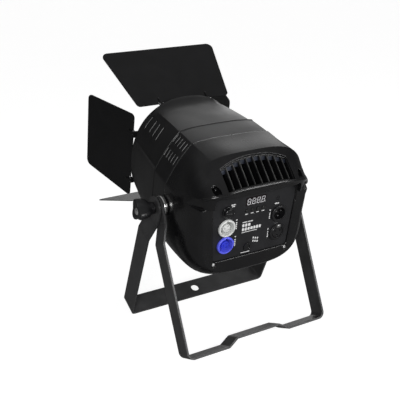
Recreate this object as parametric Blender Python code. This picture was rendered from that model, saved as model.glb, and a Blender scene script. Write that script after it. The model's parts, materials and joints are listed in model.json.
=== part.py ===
"""Par can stage light with barn doors and a double floor bracket.

The model is in metres with +Z up. The world origin is on the floor, under the middle of the object's
bounding box. The lamp shines towards -Y and its control panel faces +Y. Lengths in this file are in
millimetres until a mesh is finished, when they are multiplied by MM.
"""

import math

import bmesh
import bpy
from mathutils import Matrix, Vector

MM = 0.001
GAP = 0.3

# Pose at rest and the overall frame
PIVOT_HEIGHT = 193.9
PIVOT_Y = 76.29
HEAD_TILT = 15.3
FRONT_SPLAY = 26.8
REAR_SPLAY = 22.7

# Brackets: bent steel strip
STRIP_T = 3.0
REAR_STRIP_W = 27.0
REAR_ARM_X = 109.7
REAR_EAR_X = 100.5
REAR_JOG = (23.5, 49.0)
REAR_BEND_R = 8.5
FOOT_RISE = 8.8
FOOT_RISE_X = (48.5, 33.7)
FRONT_STRIP_W = 30.6
FRONT_ARM_X = 114.4
FRONT_EAR_X = 105.5
FRONT_JOG = (19.5, 46.9)
FRONT_BEND_R = 5.0
CLAMP_HOLE_R = 6.25
STUD_R = 4.0
STUD_HOLE_R = 4.4

# Body section keys along the head's y axis: y, half width, top, bottom, squareness exponent
RIM_Y = -127.9
STEP_Y = -41.0
STEP_H = 2.0
SEAM_Y = -3.0
BODY_KEYS = (
    (RIM_Y, 82.5, 88.8, 82.5, 2.3),
    (-80.0, 87.0, 90.4, 81.8, 2.9),
    (STEP_Y, 90.0, 90.8, 80.5, 3.4),
    (SEAM_Y, 91.6, 91.5, 80.0, 3.5),
    (35.0, 91.2, 91.5, 78.8, 3.5),
    (56.0, 89.0, 91.5, 77.0, 3.4),
    (67.0, 85.0, 91.5, 73.8, 3.3),
    (74.5, 79.5, 91.5, 69.6, 3.2),
    (78.5, 72.5, 91.5, 64.3, 3.1),
)
LOWER_SQUARE = 1.5
SECTION_POINTS = 48
HOUSING_T = 2.4
COVER_T = 3.0
COVER_SWELL = 0.8
COVER_REACH = 92.0
CUT_REACH = 130.0
RIM_OUT = 1.9
REAR_SHEAR = 0.094
REAR_LEAN = (20.0, 45.0)
# The cover's hollow: y, top and exponent of each section, from the back to the seam
COVER_CAVITY = ((70.5, 52.0, 2.7), (60.0, 68.0, 2.7), (50.0, 76.0, 2.7), (40.0, 86.0, 3.2),
                (30.0, 91.5, 3.5), (SEAM_Y, 91.5, 3.5))

# Hood on the rear cover: its section keys (y, half width, top, exponent), from its crease to its lip
HOOD_TOP = (45.0, 91.5)
HOOD_LIP = (85.0, 63.0)
HOOD_KEYS = (
    (45.0, 90.3, 91.5, 3.5),
    (56.0, 88.7, 83.7, 3.3),
    (67.0, 86.2, 75.8, 3.3),
    (78.0, 82.0, 68.0, 3.6),
    (88.0, 76.0, 60.9, 3.7),
)
HOOD_LOW_ANGLE = 17.0
HOOD_HIGH_ANGLE = 27.0
VISOR_Z = 36.0
VISOR_EDGE_Z = 51.5
VISOR_BOW = 15.0
CROWN_DROP = 21.7
CROWN_HALF_W = 78.0
FIN_COUNT = 9
FIN_PITCH = 10.4
FIN_T = 1.8
FIN_FOOT = 45.2
VENT_HALF_W = 50.0
VENT_FOOT = 46.6
VENT_DEPTH = 2.0
SLOT_DEPTH = 17.0

# Cover screws: (x, z) places and the seats of their heads
WELL_Y = 61.8
HOOD_SCREWS = ((-62.8, 61.3), (62.8, 61.3))
RIM_SCREWS = ((-56.5, -50.8), (56.5, -50.8))
RIM_SEAT = -0.6

# Control panel plane
PANEL_Y = 75.66
PANEL_LEAN = 5.37
PANEL_T = 1.5
PANEL_TOP = (63.7, 45.0)
PANEL_BOTTOM = (57.7, -46.1)
POWER_X = 40.9
POWER_OUT_Z = 1.7
POWER_IN_Z = -23.8
DATA_X = -40.4
DATA_OUT_Z = -22.9
DATA_IN_Z = 5.5
FUSE_XZ = (41.3, 25.6)
MIC_XZ = (-36.3, 29.2)
PORT_XZ = (5.4, -35.2)
DISPLAY_XZ = (-1.4, 33.2)
DISPLAY_SIZE = (31.0, 12.0)
BUTTON_X = (11.5, 3.1, -5.3, -13.8)
BUTTON_Z = 20.6
BUTTON_R = 2.3

# Barn doors
HINGE_Y = -132.3
HINGE_R = 78.9
RING_R = (70.0, 80.5)
RING_Y = (-129.8, -128.3)
LEAF_T = 1.2
LEAF_START = 0.2
TOP_LEAF = (74.2, 93.6, 106.0)
SIDE_LEAF = (67.9, 59.7, 104.0)
TOP_STATION = 36.0
SIDE_STATION = 38.0
TOP_ANGLE = 23.4
BOTTOM_ANGLE = 29.35
SIDE_ANGLE = 16.6


# ---------------------------------------------------------------- scene helpers


def clear_scene():
    for obj in list(bpy.data.objects):
        bpy.data.objects.remove(obj, do_unlink=True)


def material(name, color, roughness, metallic=0.0, alpha=1.0):
    mat = bpy.data.materials.get(name)
    if mat:
        return mat
    mat = bpy.data.materials.new(name)
    mat.use_nodes = True
    shader = mat.node_tree.nodes["Principled BSDF"]
    shader.inputs["Base Color"].default_value = (*color, 1.0)
    shader.inputs["Roughness"].default_value = roughness
    shader.inputs["Metallic"].default_value = metallic
    shader.inputs["Alpha"].default_value = alpha
    return mat


def frame(name, parent, location, rotation_x=0.0, rotation_y=0.0):
    """An empty in millimetre coordinates of its parent, turned about X and then about Y."""
    empty = bpy.data.objects.new(name, None)
    bpy.context.scene.collection.objects.link(empty)
    empty.empty_display_size = 0.02
    empty.parent = parent
    turn = Matrix.Rotation(math.radians(rotation_y), 4, "Y")
    turn = turn @ Matrix.Rotation(math.radians(rotation_x), 4, "X")
    empty.matrix_local = Matrix.Translation(Vector(location) * MM) @ turn
    return empty


def finish(name, bm, parent, mat=None, smooth=35.0):
    """Turn a bmesh in millimetres into a named object under its frame."""
    bmesh.ops.recalc_face_normals(bm, faces=bm.faces)
    bmesh.ops.scale(bm, vec=(MM, MM, MM), verts=bm.verts)
    mesh = bpy.data.meshes.new(name)
    bm.to_mesh(mesh)
    bm.free()
    if mat:
        mesh.materials.append(mat)
    mesh.shade_smooth()
    mesh.set_sharp_from_angle(angle=math.radians(smooth))
    obj = bpy.data.objects.new(name, mesh)
    bpy.context.scene.collection.objects.link(obj)
    obj.parent = parent
    return obj


def boolean(obj, tool_bm, operation="DIFFERENCE"):
    """Cut a bmesh tool from an object, or join it, with an exact Boolean."""
    tool = finish(f"{obj.name}_{operation.lower()}_{len(obj.modifiers)}", tool_bm, obj.parent)
    tool.hide_render = True
    tool.display_type = "WIRE"
    modifier = obj.modifiers.new(f"{operation.title()} {len(obj.modifiers)}", "BOOLEAN")
    modifier.operation = operation
    modifier.solver = "EXACT"
    modifier.object = tool
    return obj


# ---------------------------------------------------------------- shape helpers


def add_rings(bm, rings, closed=False):
    """Skin rings of equal point count. An open stack gets a cap at each end."""
    loops = [[bm.verts.new(point) for point in ring] for ring in rings]
    pairs = list(zip(loops, loops[1:]))
    if closed:
        pairs.append((loops[-1], loops[0]))
    count = len(loops[0])
    for low, high in pairs:
        for i in range(count):
            j = (i + 1) % count
            bm.faces.new((low[i], low[j], high[j], high[i]))
    if not closed:
        bm.faces.new(loops[0])
        bm.faces.new(loops[-1])
    return loops


def rings_solid(rings, closed=False):
    bm = bmesh.new()
    add_rings(bm, rings, closed)
    return bm


def circle(radius, y, count, centre=(0.0, 0.0), phase=0.0):
    """Points round the y axis."""
    steps = (phase + 2 * math.pi * i / count for i in range(count))
    return [(centre[0] + radius * math.cos(a), y, centre[1] + radius * math.sin(a)) for a in steps]


def add_turned(bm, profile, count, centre=(0.0, 0.0), closed=False, phase=0.0):
    """A turned solid round the y axis: profile holds (radius, y) pairs."""
    add_rings(bm, [circle(r, y, count, centre, phase) for r, y in profile], closed)


def turned(profile, count, centre=(0.0, 0.0), closed=False):
    bm = bmesh.new()
    add_turned(bm, profile, count, centre, closed)
    return bm


def add_box(bm, low, high):
    rings = []
    for y in (low[1], high[1]):
        rings.append([(low[0], y, low[2]), (high[0], y, low[2]), (high[0], y, high[2]),
                      (low[0], y, high[2])])
    add_rings(bm, rings)


def box(low, high):
    bm = bmesh.new()
    add_box(bm, low, high)
    return bm


def add_prism(bm, outline, y0, y1):
    """Extrude an (x, z) outline along y."""
    add_rings(bm, [[(x, y, z) for x, z in outline] for y in (y0, y1)])


def prism(outline, y0, y1):
    bm = bmesh.new()
    add_prism(bm, outline, y0, y1)
    return bm


def add_cross_prism(bm, outline, x0, x1):
    """Extrude a (y, z) outline along x."""
    add_rings(bm, [[(x, y, z) for y, z in outline] for x in (x0, x1)])


def cross_prism(outline, x0, x1):
    bm = bmesh.new()
    add_cross_prism(bm, outline, x0, x1)
    return bm


def add_x_cylinder(bm, radius, x0, x1, count=16, y=0.0, z=0.0):
    steps = [2 * math.pi * i / count for i in range(count)]
    add_cross_prism(bm, [(y + radius * math.cos(a), z + radius * math.sin(a)) for a in steps], x0, x1)


def x_cylinder(radius, x0, x1, count=16, y=0.0, z=0.0):
    bm = bmesh.new()
    add_x_cylinder(bm, radius, x0, x1, count, y, z)
    return bm


def fillet_path(points, radii, steps=4):
    """Round the inner corners of an open 2-D path with arcs of the given radii."""
    path = [Vector(points[0])]
    for before, here, after, radius in zip(points, points[1:], points[2:], radii):
        before, here, after = Vector(before), Vector(here), Vector(after)
        into, out = (here - before).normalized(), (after - here).normalized()
        turn = into.angle_signed(out)
        if radius <= 0 or abs(turn) < 1e-6:
            path.append(here)
            continue
        back = radius * math.tan(abs(turn) / 2)
        start = here - into * back
        side = Vector((-into.y, into.x)) * (-1 if turn > 0 else 1)
        centre = start + side * radius
        for i in range(steps + 1):
            spin = Matrix.Rotation(-turn * i / steps, 2)
            path.append(centre + spin @ (start - centre))
    path.append(Vector(points[-1]))
    return path


def offset_path(path, distance):
    """Shift an open 2-D path sideways, with mitred corners."""
    shifted = []
    for i, point in enumerate(path):
        into = (point - path[i - 1]).normalized() if i else (path[1] - point).normalized()
        out = (path[i + 1] - point).normalized() if i < len(path) - 1 else into
        normal = Vector((-into.y - out.y, into.x + out.x)).normalized()
        reach = distance / max(0.2, normal.dot(Vector((-into.y, into.x))))
        shifted.append(point + normal * reach)
    return shifted


def rounded_outline(corners, radii, steps=4):
    """A closed outline with each corner rounded by its own radius."""
    path = []
    count = len(corners)
    for i in range(count):
        trio = (corners[i - 1], corners[i], corners[(i + 1) % count])
        path += fillet_path(trio, (radii[i],), steps)[1:-1]
    return [tuple(point) for point in path]


# ---------------------------------------------------------------- body sections


def between_keys(keys, y):
    """The values of a table of keys at y, on straight lines between its rows."""
    if y <= keys[0][0]:
        return keys[0][1:]
    for low, high in zip(keys, keys[1:]):
        if y <= high[0]:
            share = (y - low[0]) / (high[0] - low[0])
            return tuple(a + (b - a) * share for a, b in zip(low[1:], high[1:]))
    return keys[-1][1:]


def section_radius(angle, section, inset):
    """Distance from the axis to a section of half width, top, bottom and exponent."""
    half, top, bottom, power = section
    upper = math.sin(angle) > 0
    rise = (top if upper else bottom) - inset
    if not upper:
        power = 2 + (power - 2) * LOWER_SQUARE
    across = abs(math.cos(angle) / (half - inset)) ** power
    return (across + abs(math.sin(angle) / rise) ** power) ** (-1 / power)


def body_ring(y, inset=0.0, step=0.0, shear=0.0, section=None):
    """One ring of the body. Step lowers its upper part, and shear leans its lower half back."""
    section = section or between_keys(BODY_KEYS, y)
    ring = []
    for i in range(SECTION_POINTS):
        angle = 2 * math.pi * i / SECTION_POINTS
        radius = section_radius(angle, section, inset)
        if step and math.sin(angle) > 0.2:
            radius -= step
        x, z = radius * math.cos(angle), radius * math.sin(angle)
        ring.append((x, y - shear * min(z, 0.0), z))
    return ring


def hood_ring(y, inset):
    """One ring of the rear cover: the hood's section above, the body's section at the sides and below."""
    half, top, power = between_keys(HOOD_KEYS, y)
    hood, body = (half, top, top, power), between_keys(BODY_KEYS, y)
    ring = []
    for i in range(SECTION_POINTS):
        angle = 2 * math.pi * i / SECTION_POINTS
        height = math.degrees(math.asin(math.sin(angle)))
        share = (height - HOOD_LOW_ANGLE) / (HOOD_HIGH_ANGLE - HOOD_LOW_ANGLE)
        radius = section_radius(angle, body, inset)
        if share > 0:
            radius += (section_radius(angle, hood, inset) - radius) * min(1.0, share)
        x, z = radius * math.cos(angle), radius * math.sin(angle)
        ring.append((x, y - rear_lean(y) * min(z, 0.0), z))
    return ring


def slot_cutter(bm, y0, y1, angle0, angle1, side, steps=3):
    """A slot through the body's wall, from one polar angle to the other, in degrees."""
    rings = []
    for i in range(steps + 1):
        angle = math.radians(angle0 + (angle1 - angle0) * i / steps)
        reach = section_radius(angle, between_keys(BODY_KEYS, (y0 + y1) / 2), 0.0)
        ring = []
        for y, radius in ((y0, reach - 9), (y1, reach - 9), (y1, reach + 6), (y0, reach + 6)):
            ring.append((side * radius * math.cos(angle), y, radius * math.sin(angle)))
        rings.append(ring)
    add_rings(bm, rings)


# ---------------------------------------------------------------- brackets


def bracket(name, parent, width, ear_x, jog, arm_x, reach, foot, bend_r, mat):
    """A strip bent into a stand: ear, jog, arm and foot bar, mirrored about x = 0."""
    half = [(ear_x, width / 2), (ear_x, -jog[0]), (arm_x, -jog[1]), (arm_x, -reach + STRIP_T / 2)]
    radii = [6.0, 6.0, bend_r] + [2.0] * len(foot)
    half += foot
    points = half + [(-x, z) for x, z in reversed(half)]
    radii = radii + radii[::-1]
    path = fillet_path(points, radii)
    outline = offset_path(path, STRIP_T / 2) + offset_path(path, -STRIP_T / 2)[::-1]
    bm = prism([tuple(p) for p in outline], -width / 2, width / 2)
    round_ears(bm, width)
    obj = finish(name, bm, parent, mat, 30.0)
    holes = bmesh.new()
    for side in (-1, 1):
        ends = sorted((side * (ear_x - 6), side * (ear_x + 6)))
        add_x_cylinder(holes, STUD_HOLE_R, ends[0], ends[1], 20)
    boolean(obj, holes)
    return obj


def round_ears(bm, width):
    """Round the two corners at the top of each ear."""
    corners = []
    for edge in bm.edges:
        ends = [v.co for v in edge.verts]
        at_top = all(co.z > width / 2 - 0.01 for co in ends)
        if at_top and abs(ends[0].y - ends[1].y) < 0.01:
            corners.append(edge)
    bmesh.ops.bevel(bm, geom=corners, offset=width / 2 * 0.94, segments=6, affect="EDGES", profile=0.5)


def strip_reach(splay, width):
    angle = math.radians(splay)
    return (PIVOT_HEIGHT - width / 2 * math.sin(angle)) / math.cos(angle)


def build_brackets(rear_frame, front_frame):
    powder = material("bracket_black", (0.035, 0.035, 0.038), 0.42)
    rear_reach = strip_reach(REAR_SPLAY, REAR_STRIP_W)
    foot_z = -rear_reach + STRIP_T / 2
    rise = [(FOOT_RISE_X[0], foot_z), (FOOT_RISE_X[1], foot_z + FOOT_RISE)]
    bracket("rear_bracket", rear_frame, REAR_STRIP_W, REAR_EAR_X, REAR_JOG, REAR_ARM_X, rear_reach,
            rise, REAR_BEND_R, powder)
    front_reach = strip_reach(FRONT_SPLAY, FRONT_STRIP_W)
    front = bracket("front_bracket", front_frame, FRONT_STRIP_W, FRONT_EAR_X, FRONT_JOG, FRONT_ARM_X,
                    front_reach, [], FRONT_BEND_R, powder)
    steps = [2 * math.pi * i / 28 for i in range(28)]
    hole = bmesh.new()
    rings = []
    for z in (-front_reach - 5, -front_reach + 8):
        rings.append([(CLAMP_HOLE_R * math.cos(a), CLAMP_HOLE_R * math.sin(a), z) for a in steps])
    add_rings(hole, rings)
    boolean(front, hole)


# ---------------------------------------------------------------- tilt lock hardware


def knob_outline(radius, lobes=3, points=36):
    """A star outline whose lobes swell and whose hollows sink."""
    outline = []
    for i in range(points):
        angle = 2 * math.pi * i / points
        outline.append((angle, radius * (1 + 0.24 * math.cos(lobes * angle))))
    return outline


def tilt_hardware(side, word, rear_frame, head_frame, knob_frame):
    steel = material("zinc_steel", (0.62, 0.62, 0.6), 0.3, 1.0)
    black = material("knob_black", (0.02, 0.02, 0.02), 0.5)
    bush = [(STUD_HOLE_R, 92.8), (13.4, 92.8), (15.0, 94.4), (15.0, 97.7), (14.0, 98.7),
            (STUD_HOLE_R, 98.7)]
    finish(f"pivot_bush_{word}", x_turned(bush, side, 24), head_frame, steel)
    washer = [(STUD_HOLE_R, 102.3), (12.0, 102.3), (12.0, 103.7), (STUD_HOLE_R, 103.7)]
    rubber = material("washer_rubber", (0.03, 0.03, 0.03), 0.8)
    finish(f"friction_washer_{word}", x_turned(washer, side, 20), rear_frame, rubber)
    stud = [(STUD_R - 0.8, 80.0), (STUD_R, 80.8), (STUD_R, 119.0)]
    finish(f"tilt_stud_{word}", x_turned(stud, side, 16, False), knob_frame, steel)
    rings = []
    for x, radius, swell in ((107.3, 8.0, 0.0), (113.0, 8.5, 0.2), (118.0, 11.0, 1.0), (131.5, 13.2, 1.0),
                             (133.5, 11.8, 1.0)):
        ring = []
        for angle, reach in knob_outline(radius):
            grown = radius + (reach - radius) * swell
            ring.append((side * x, grown * math.cos(angle), grown * math.sin(angle)))
        rings.append(ring)
    knob = finish(f"tilt_knob_{word}", rings_solid(rings), knob_frame, black)
    ends = sorted((side * 100.0, side * (119.0 + GAP)))
    boolean(knob, x_cylinder(STUD_R + GAP, ends[0], ends[1], 16))


def x_turned(profile, side, count, closed=True):
    """A turned solid round the x axis: profile holds (radius, x) pairs."""
    rings = []
    steps = [2 * math.pi * i / count for i in range(count)]
    for radius, x in profile:
        rings.append([(side * x, radius * math.cos(a), radius * math.sin(a)) for a in steps])
    return rings_solid(rings, closed)


# ---------------------------------------------------------------- housing and cover


def build_front_housing(head):
    shell = material("housing_black", (0.03, 0.03, 0.032), 0.38)
    outer = []
    for y in (RIM_Y, -122.0, -104.0, -80.0):
        outer.append(body_ring(y, step=STEP_H * min(1.0, (y - RIM_Y) / 12.0)))
    outer += [body_ring(-60.0, step=STEP_H), body_ring(STEP_Y - 0.8, step=STEP_H)]
    outer += [body_ring(y) for y in (STEP_Y, -22.0, SEAM_Y - GAP)]
    inner = [body_ring(y, inset=HOUSING_T + STEP_H) for y in (SEAM_Y - GAP, -41.0, -80.0)]
    inner.append([(x, -124.9, z) for x, y, z in circle(76.5, 0.0, SECTION_POINTS)])
    inner += [circle(66.0, -124.9, SECTION_POINTS), circle(66.0, RIM_Y, SECTION_POINTS)]
    housing = finish("front_housing", rings_solid(outer + inner, closed=True), head, shell, 28.0)
    slots = bmesh.new()
    for side in (-1, 1):
        for i in range(4):
            y = -117.0 + 13.2 * i
            slot_cutter(slots, y - 1.5, y + 1.5, 36.5, 51.0, side)
        for i in range(5):
            y = -37.0 + 7.0 * i
            slot_cutter(slots, y - 1.3, y + 1.3, 34.0, 42.5, side, 2)
            slot_cutter(slots, y - 1.3, y + 1.3, 46.5, 54.5, side, 2)
    boolean(housing, slots)
    boolean(housing, stud_holes())


def stud_holes():
    bm = bmesh.new()
    for x in (-88.0, 88.0):
        add_x_cylinder(bm, STUD_HOLE_R + 0.8, x - 12, x + 12, 20)
    return bm


def build_rear_cover(head):
    shell = material("cover_black", (0.026, 0.026, 0.028), 0.36)
    outer = [body_ring(y, inset=-COVER_SWELL, shear=rear_lean(y)) for y in (SEAM_Y, 35.0)]
    outer += [hood_ring(y, -COVER_SWELL) for y in (45.0, 56.0, 67.0, 74.5, 78.5, 88.0)]
    cavity = []
    for y, top, power in COVER_CAVITY:
        half, _, bottom, _ = between_keys(BODY_KEYS, y)
        section = (half, top, bottom, power)
        cavity.append(body_ring(y, inset=COVER_T, shear=rear_lean(y), section=section))
    cover = finish("rear_cover", rings_solid(cavity + outer), head, shell, 28.0)
    boolean(cover, visor_cutter())
    boolean(cover, rim_cutter())
    boolean(cover, panel_recess())
    boolean(cover, panel_opening())
    boolean(cover, visor_opening())
    boolean(cover, vent_recess())
    boolean(cover, vent_slots())
    boolean(cover, screw_wells())
    boolean(cover, stud_holes())


def rear_lean(y):
    """How far the lower half of a section leans back, growing from the cover's side to its rim."""
    start, length = REAR_LEAN
    return REAR_SHEAR * max(0.0, min(1.0, (y - start) / length))


def slope_point(x, along, out=0.0):
    """A point at a distance down the hood from its crease, and out from its crowned surface."""
    down = (Vector(HOOD_LIP) - Vector(HOOD_TOP)).normalized()
    normal = Vector((-down.y, down.x))
    crown = CROWN_DROP * (abs(x) / CROWN_HALF_W) ** 4
    point = Vector(HOOD_TOP) + down * along + normal * out
    return (x, point.x, point.y - crown)


def visor_cutter():
    """Trims the visor's face, which bows out in the middle and turns in at its ends."""
    steps = 12
    face = []
    for i in range(steps + 1):
        x = COVER_REACH * (2 * i / steps - 1)
        face.append((x, HOOD_LIP[0] - VISOR_BOW * (abs(x) / CROWN_HALF_W) ** 6))
    outline = face + [(COVER_REACH, CUT_REACH), (-COVER_REACH, CUT_REACH)]
    return rings_solid([[(x, y, z) for x, y in outline] for z in (VISOR_Z - 1.0, CUT_REACH)])


def panel_to_head(x, y, z):
    """A point of the panel's frame in the head's frame."""
    lean = math.radians(PANEL_LEAN)
    return (x, PANEL_Y + y * math.cos(lean) - z * math.sin(lean), y * math.sin(lean) + z * math.cos(lean))


def head_space(bm):
    """Move a tool that was modelled in the panel's frame into the head's frame."""
    for vert in bm.verts:
        vert.co = panel_to_head(*vert.co)
    return bm


def rim_cutter():
    """Trims the back of the cover to the rim plane below the visor."""
    return head_space(box((-CUT_REACH, RIM_OUT, -CUT_REACH), (CUT_REACH, CUT_REACH, VISOR_Z)))


def panel_outline(grow):
    top_x, top_z = PANEL_TOP
    low_x, low_z = PANEL_BOTTOM
    corners = [(-low_x - grow, low_z - grow), (low_x + grow, low_z - grow),
               (top_x + grow, top_z + grow), (-top_x - grow, top_z + grow)]
    return rounded_outline(corners, (4.0, 4.0, 3.0, 3.0), 3)


def panel_recess():
    return head_space(prism(panel_outline(0.4), -PANEL_T - GAP, 30.0))


def panel_opening():
    return head_space(prism(panel_outline(-4.0), -20.0, 1.0))


def visor_opening():
    """Clears the visor in front of the panel, up to its lower edge."""
    half, low = PANEL_TOP[0] + 0.4, 20.0
    corners = [(-half, low), (half, low), (half, VISOR_EDGE_Z), (-half, VISOR_EDGE_Z)]
    return head_space(prism(rounded_outline(corners, (1.0, 1.0, 5.0, 5.0)), 0.5, 30.0))


def vent_edge(x):
    """Distance down the hood of the vent's arched top edge."""
    return 6.5 + 8.6 * (x / VENT_HALF_W) ** 2


def vent_recess():
    """A shallow pocket with an arched top, whose floor follows the hood's crown."""
    steps = 10
    rings = []
    for i in range(steps + 1):
        x = VENT_HALF_W * (2 * i / steps - 1)
        corners = ((vent_edge(x), -VENT_DEPTH), (VENT_FOOT, -VENT_DEPTH), (VENT_FOOT, 12.0),
                   (vent_edge(x), 12.0))
        rings.append([slope_point(x, along, out) for along, out in corners])
    return rings_solid(rings)


def vent_slots():
    """The openings between the fins."""
    bm = bmesh.new()
    half = (FIN_PITCH - FIN_T) / 2
    limit = VENT_HALF_W - 1.0
    for i in range(FIN_COUNT + 1):
        centre = (i - FIN_COUNT / 2) * FIN_PITCH
        sides = (max(centre - half, -limit), min(centre + half, limit))
        top = vent_edge(max(abs(x) for x in sides)) + 1.2
        corners = ((top, -SLOT_DEPTH), (FIN_FOOT, -SLOT_DEPTH), (FIN_FOOT, 6.0), (top, 6.0))
        add_rings(bm, [[slope_point(x, along, out) for along, out in corners] for x in sides])
    return bm


def screw_wells():
    bm = bmesh.new()
    for x, z in HOOD_SCREWS:
        add_turned(bm, [(1.8, 46.0), (1.8, WELL_Y), (4.6, WELL_Y), (4.6, 95.0)], 20, (x, z))
    for x, z in RIM_SCREWS:
        low = bmesh.new()
        add_turned(low, [(1.8, -12.0), (1.8, RIM_SEAT), (3.6, RIM_SEAT), (3.6, 20.0)], 16, (x, z))
        head_space(low)
        mesh = bpy.data.meshes.new("well")
        low.to_mesh(mesh)
        low.free()
        bm.from_mesh(mesh)
        bpy.data.meshes.remove(mesh)
    return bm


def screw(name, parent, x, z, seat, radius, height):
    """A pan head screw standing on its seat, with a slot."""
    steel = material("screw_steel", (0.55, 0.55, 0.55), 0.3, 1.0)
    low = seat + GAP
    profile = [(1.4, seat - 6.0), (1.4, low), (radius, low), (radius, low + height * 0.55),
               (radius * 0.7, low + height)]
    obj = finish(name, turned(profile, 12, (x, z)), parent, steel)
    top, arm, half = low + height, radius * 0.5, radius * 0.11
    boolean(obj, box((x - arm, top - height * 0.5, z - half), (x + arm, top + 1.0, z + half)))


def build_cover_screws(head, panel):
    for word, (x, z) in zip(("upper_right", "upper_left"), HOOD_SCREWS):
        screw(f"cover_screw_{word}", head, x, z, WELL_Y, 3.6, 2.4)
    for word, (x, z) in zip(("lower_right", "lower_left"), RIM_SCREWS):
        screw(f"cover_screw_{word}", panel, x, z, RIM_SEAT, 3.1, 2.2)


# ---------------------------------------------------------------- optics and cooling


def build_optics(head):
    glass = material("lens_glass", (0.9, 0.95, 1.0), 0.05, 0.0, 0.3)
    lens = [(12.0, -128.6), (30.0, -127.7), (46.0, -126.0), (58.0, -123.9), (64.0, -122.4), (69.0, -122.4),
            (69.0, -118.8)]
    finish("front_lens", turned(lens, 32), head, glass)
    black = material("trim_black", (0.03, 0.03, 0.03), 0.45)
    retainer = [(62.5, -118.4), (75.0, -118.4), (75.0, -115.5), (62.5, -115.5)]
    finish("lens_retainer", turned(retainer, 32, closed=True), head, black)
    holder = [(63.0, -125.2), (65.7, -125.2), (65.7, -128.2), (69.7, -128.2), (69.7, -130.1),
              (73.5, -130.1), (73.5, -131.6), (63.0, -131.6)]
    finish("accessory_holder", turned(holder, 36, closed=True), head, black)
    mirror = material("reflector_mirror", (0.85, 0.85, 0.85), 0.12, 1.0)
    finish("reflector", reflector(), head, mirror)
    board = material("led_board", (0.75, 0.75, 0.7), 0.5)
    led = bmesh.new()
    add_box(led, (-22.0, -64.0, -22.0), (22.0, -62.0, 22.0))
    obj = finish("led_module", led, head, board)
    boolean(obj, turned([(14.0, -63.0), (14.0, -65.4)], 32), "UNION")


def reflector():
    outer, inner = [], []
    steps = 5
    for i in range(steps + 1):
        share = i / steps
        radius = 17.0 + 43.5 * share ** 0.62
        y = -66.3 - 48.7 * share
        outer.append((radius + 1.3, y))
        inner.append((radius, y))
    return turned(outer + inner[::-1], 30, closed=True)


def build_heat_sink(head):
    metal = material("anodised_aluminium", (0.45, 0.47, 0.52), 0.35, 1.0)
    outline = comb_outline(9.0, 2.2)
    rings = [[(x, y, z) for x, y in outline] for z in (-62.0, 62.0)]
    sink = finish("heat_sink", rings_solid(rings), head, metal)
    boolean(sink, turned([(62.0, -70.0), (62.0, -10.0)], 36), "INTERSECT")


def comb_outline(pitch, thick):
    """A base plate with straight fins, as a closed (x, y) outline."""
    count = 6
    outline = [(-count * pitch - thick / 2, -61.7), (count * pitch + thick / 2, -61.7)]
    for i in range(count, -count - 1, -1):
        x = i * pitch
        outline += [(x + thick / 2, -22.0), (x - thick / 2, -22.0)]
        if i > -count:
            outline += [(x - thick / 2, -56.5), (x - pitch + thick / 2, -56.5)]
    return outline


def build_fan(head, fan_axis):
    plastic = material("fan_black", (0.02, 0.02, 0.02), 0.5)
    corners = [(-46.0, -46.0), (46.0, -46.0), (46.0, 46.0), (-46.0, 46.0)]
    housing = prism(rounded_outline(corners, (5.0,) * 4, 3), -18.0, 7.0)
    fan = finish("fan_frame", housing, head, plastic)
    boolean(fan, turned([(44.0, -20.0), (44.0, 9.0)], 36))
    boolean(fan, box((-45.0, 4.0, -2.0), (45.0, 6.6, 2.0)), "UNION")
    boolean(fan, box((-2.0, 4.1, -45.0), (2.0, 6.5, 45.0)), "UNION")
    boolean(fan, turned([(18.0, 3.6), (18.0, 6.9)], 24), "UNION")
    rotor = finish("fan_rotor", turned([(16.0, -16.0), (17.0, -15.0), (17.0, 3.0)], 24), fan_axis, plastic)
    blades = bmesh.new()
    for i in range(7):
        add_blade(blades, 2 * math.pi * i / 7)
    boolean(rotor, blades, "UNION")


def add_blade(bm, angle):
    rings = []
    for radius, chord, pitch in ((14.5, 7.0, 48.0), (28.0, 9.5, 38.0), (42.0, 12.0, 30.0)):
        lean = math.radians(pitch)
        along = Vector((math.cos(lean), math.sin(lean)))
        thick = Vector((-along.y, along.x)) * 0.7
        ring = []
        reach = along * chord
        for corner in (-reach - thick, reach - thick, reach + thick, -reach + thick):
            x = radius * math.cos(angle) - corner.x * math.sin(angle)
            z = radius * math.sin(angle) + corner.x * math.cos(angle)
            ring.append((x, corner.y - 7.0, z))
        rings.append(ring)
    add_rings(bm, rings)


def build_chassis(head):
    steel = material("chassis_steel", (0.5, 0.5, 0.5), 0.4, 1.0)
    outline = [(-86.5, -13.0), (-84.0, -13.0), (-84.0, 9.0), (84.0, 9.0), (84.0, -13.0), (86.5, -13.0),
               (86.5, 11.5), (-86.5, 11.5)]
    rings = [[(x, y, z) for x, y in outline] for z in (-14.0, 14.0)]
    strap = finish("chassis_strap", rings_solid(rings), head, steel)
    holes = bmesh.new()
    for x in (-85.0, 85.0):
        add_x_cylinder(holes, STUD_HOLE_R, x - 5, x + 5, 20)
    boolean(strap, holes)
    supply = material("supply_case", (0.6, 0.6, 0.58), 0.4, 1.0)
    corners = [(-58.0, -67.0), (58.0, -67.0), (58.0, -38.0), (-58.0, -38.0)]
    finish("power_supply", prism(rounded_outline(corners, (3.0,) * 4, 2), 16.0, 50.0), head, supply)


# ---------------------------------------------------------------- control panel


def build_panel(panel):
    sheet = material("panel_black", (0.02, 0.02, 0.022), 0.45)
    plate = finish("control_panel", prism(panel_outline(0.0), -PANEL_T, 0.0), panel, sheet)
    holes = bmesh.new()
    for x, z, radius, count in panel_holes():
        add_turned(holes, [(radius, -PANEL_T - 2.0), (radius, 2.0)], count, (x, z))
    x, z = DISPLAY_XZ
    width, height = DISPLAY_SIZE
    add_box(holes, (x - width / 2, -4.0, z - height / 2), (x + width / 2, 3.0, z + height / 2))
    boolean(plate, holes)
    boolean(plate, box((DATA_X - 3.4, -4.0, DATA_OUT_Z + 7.0), (DATA_X + 3.4, 3.0, DATA_OUT_Z + 12.6)))


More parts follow.
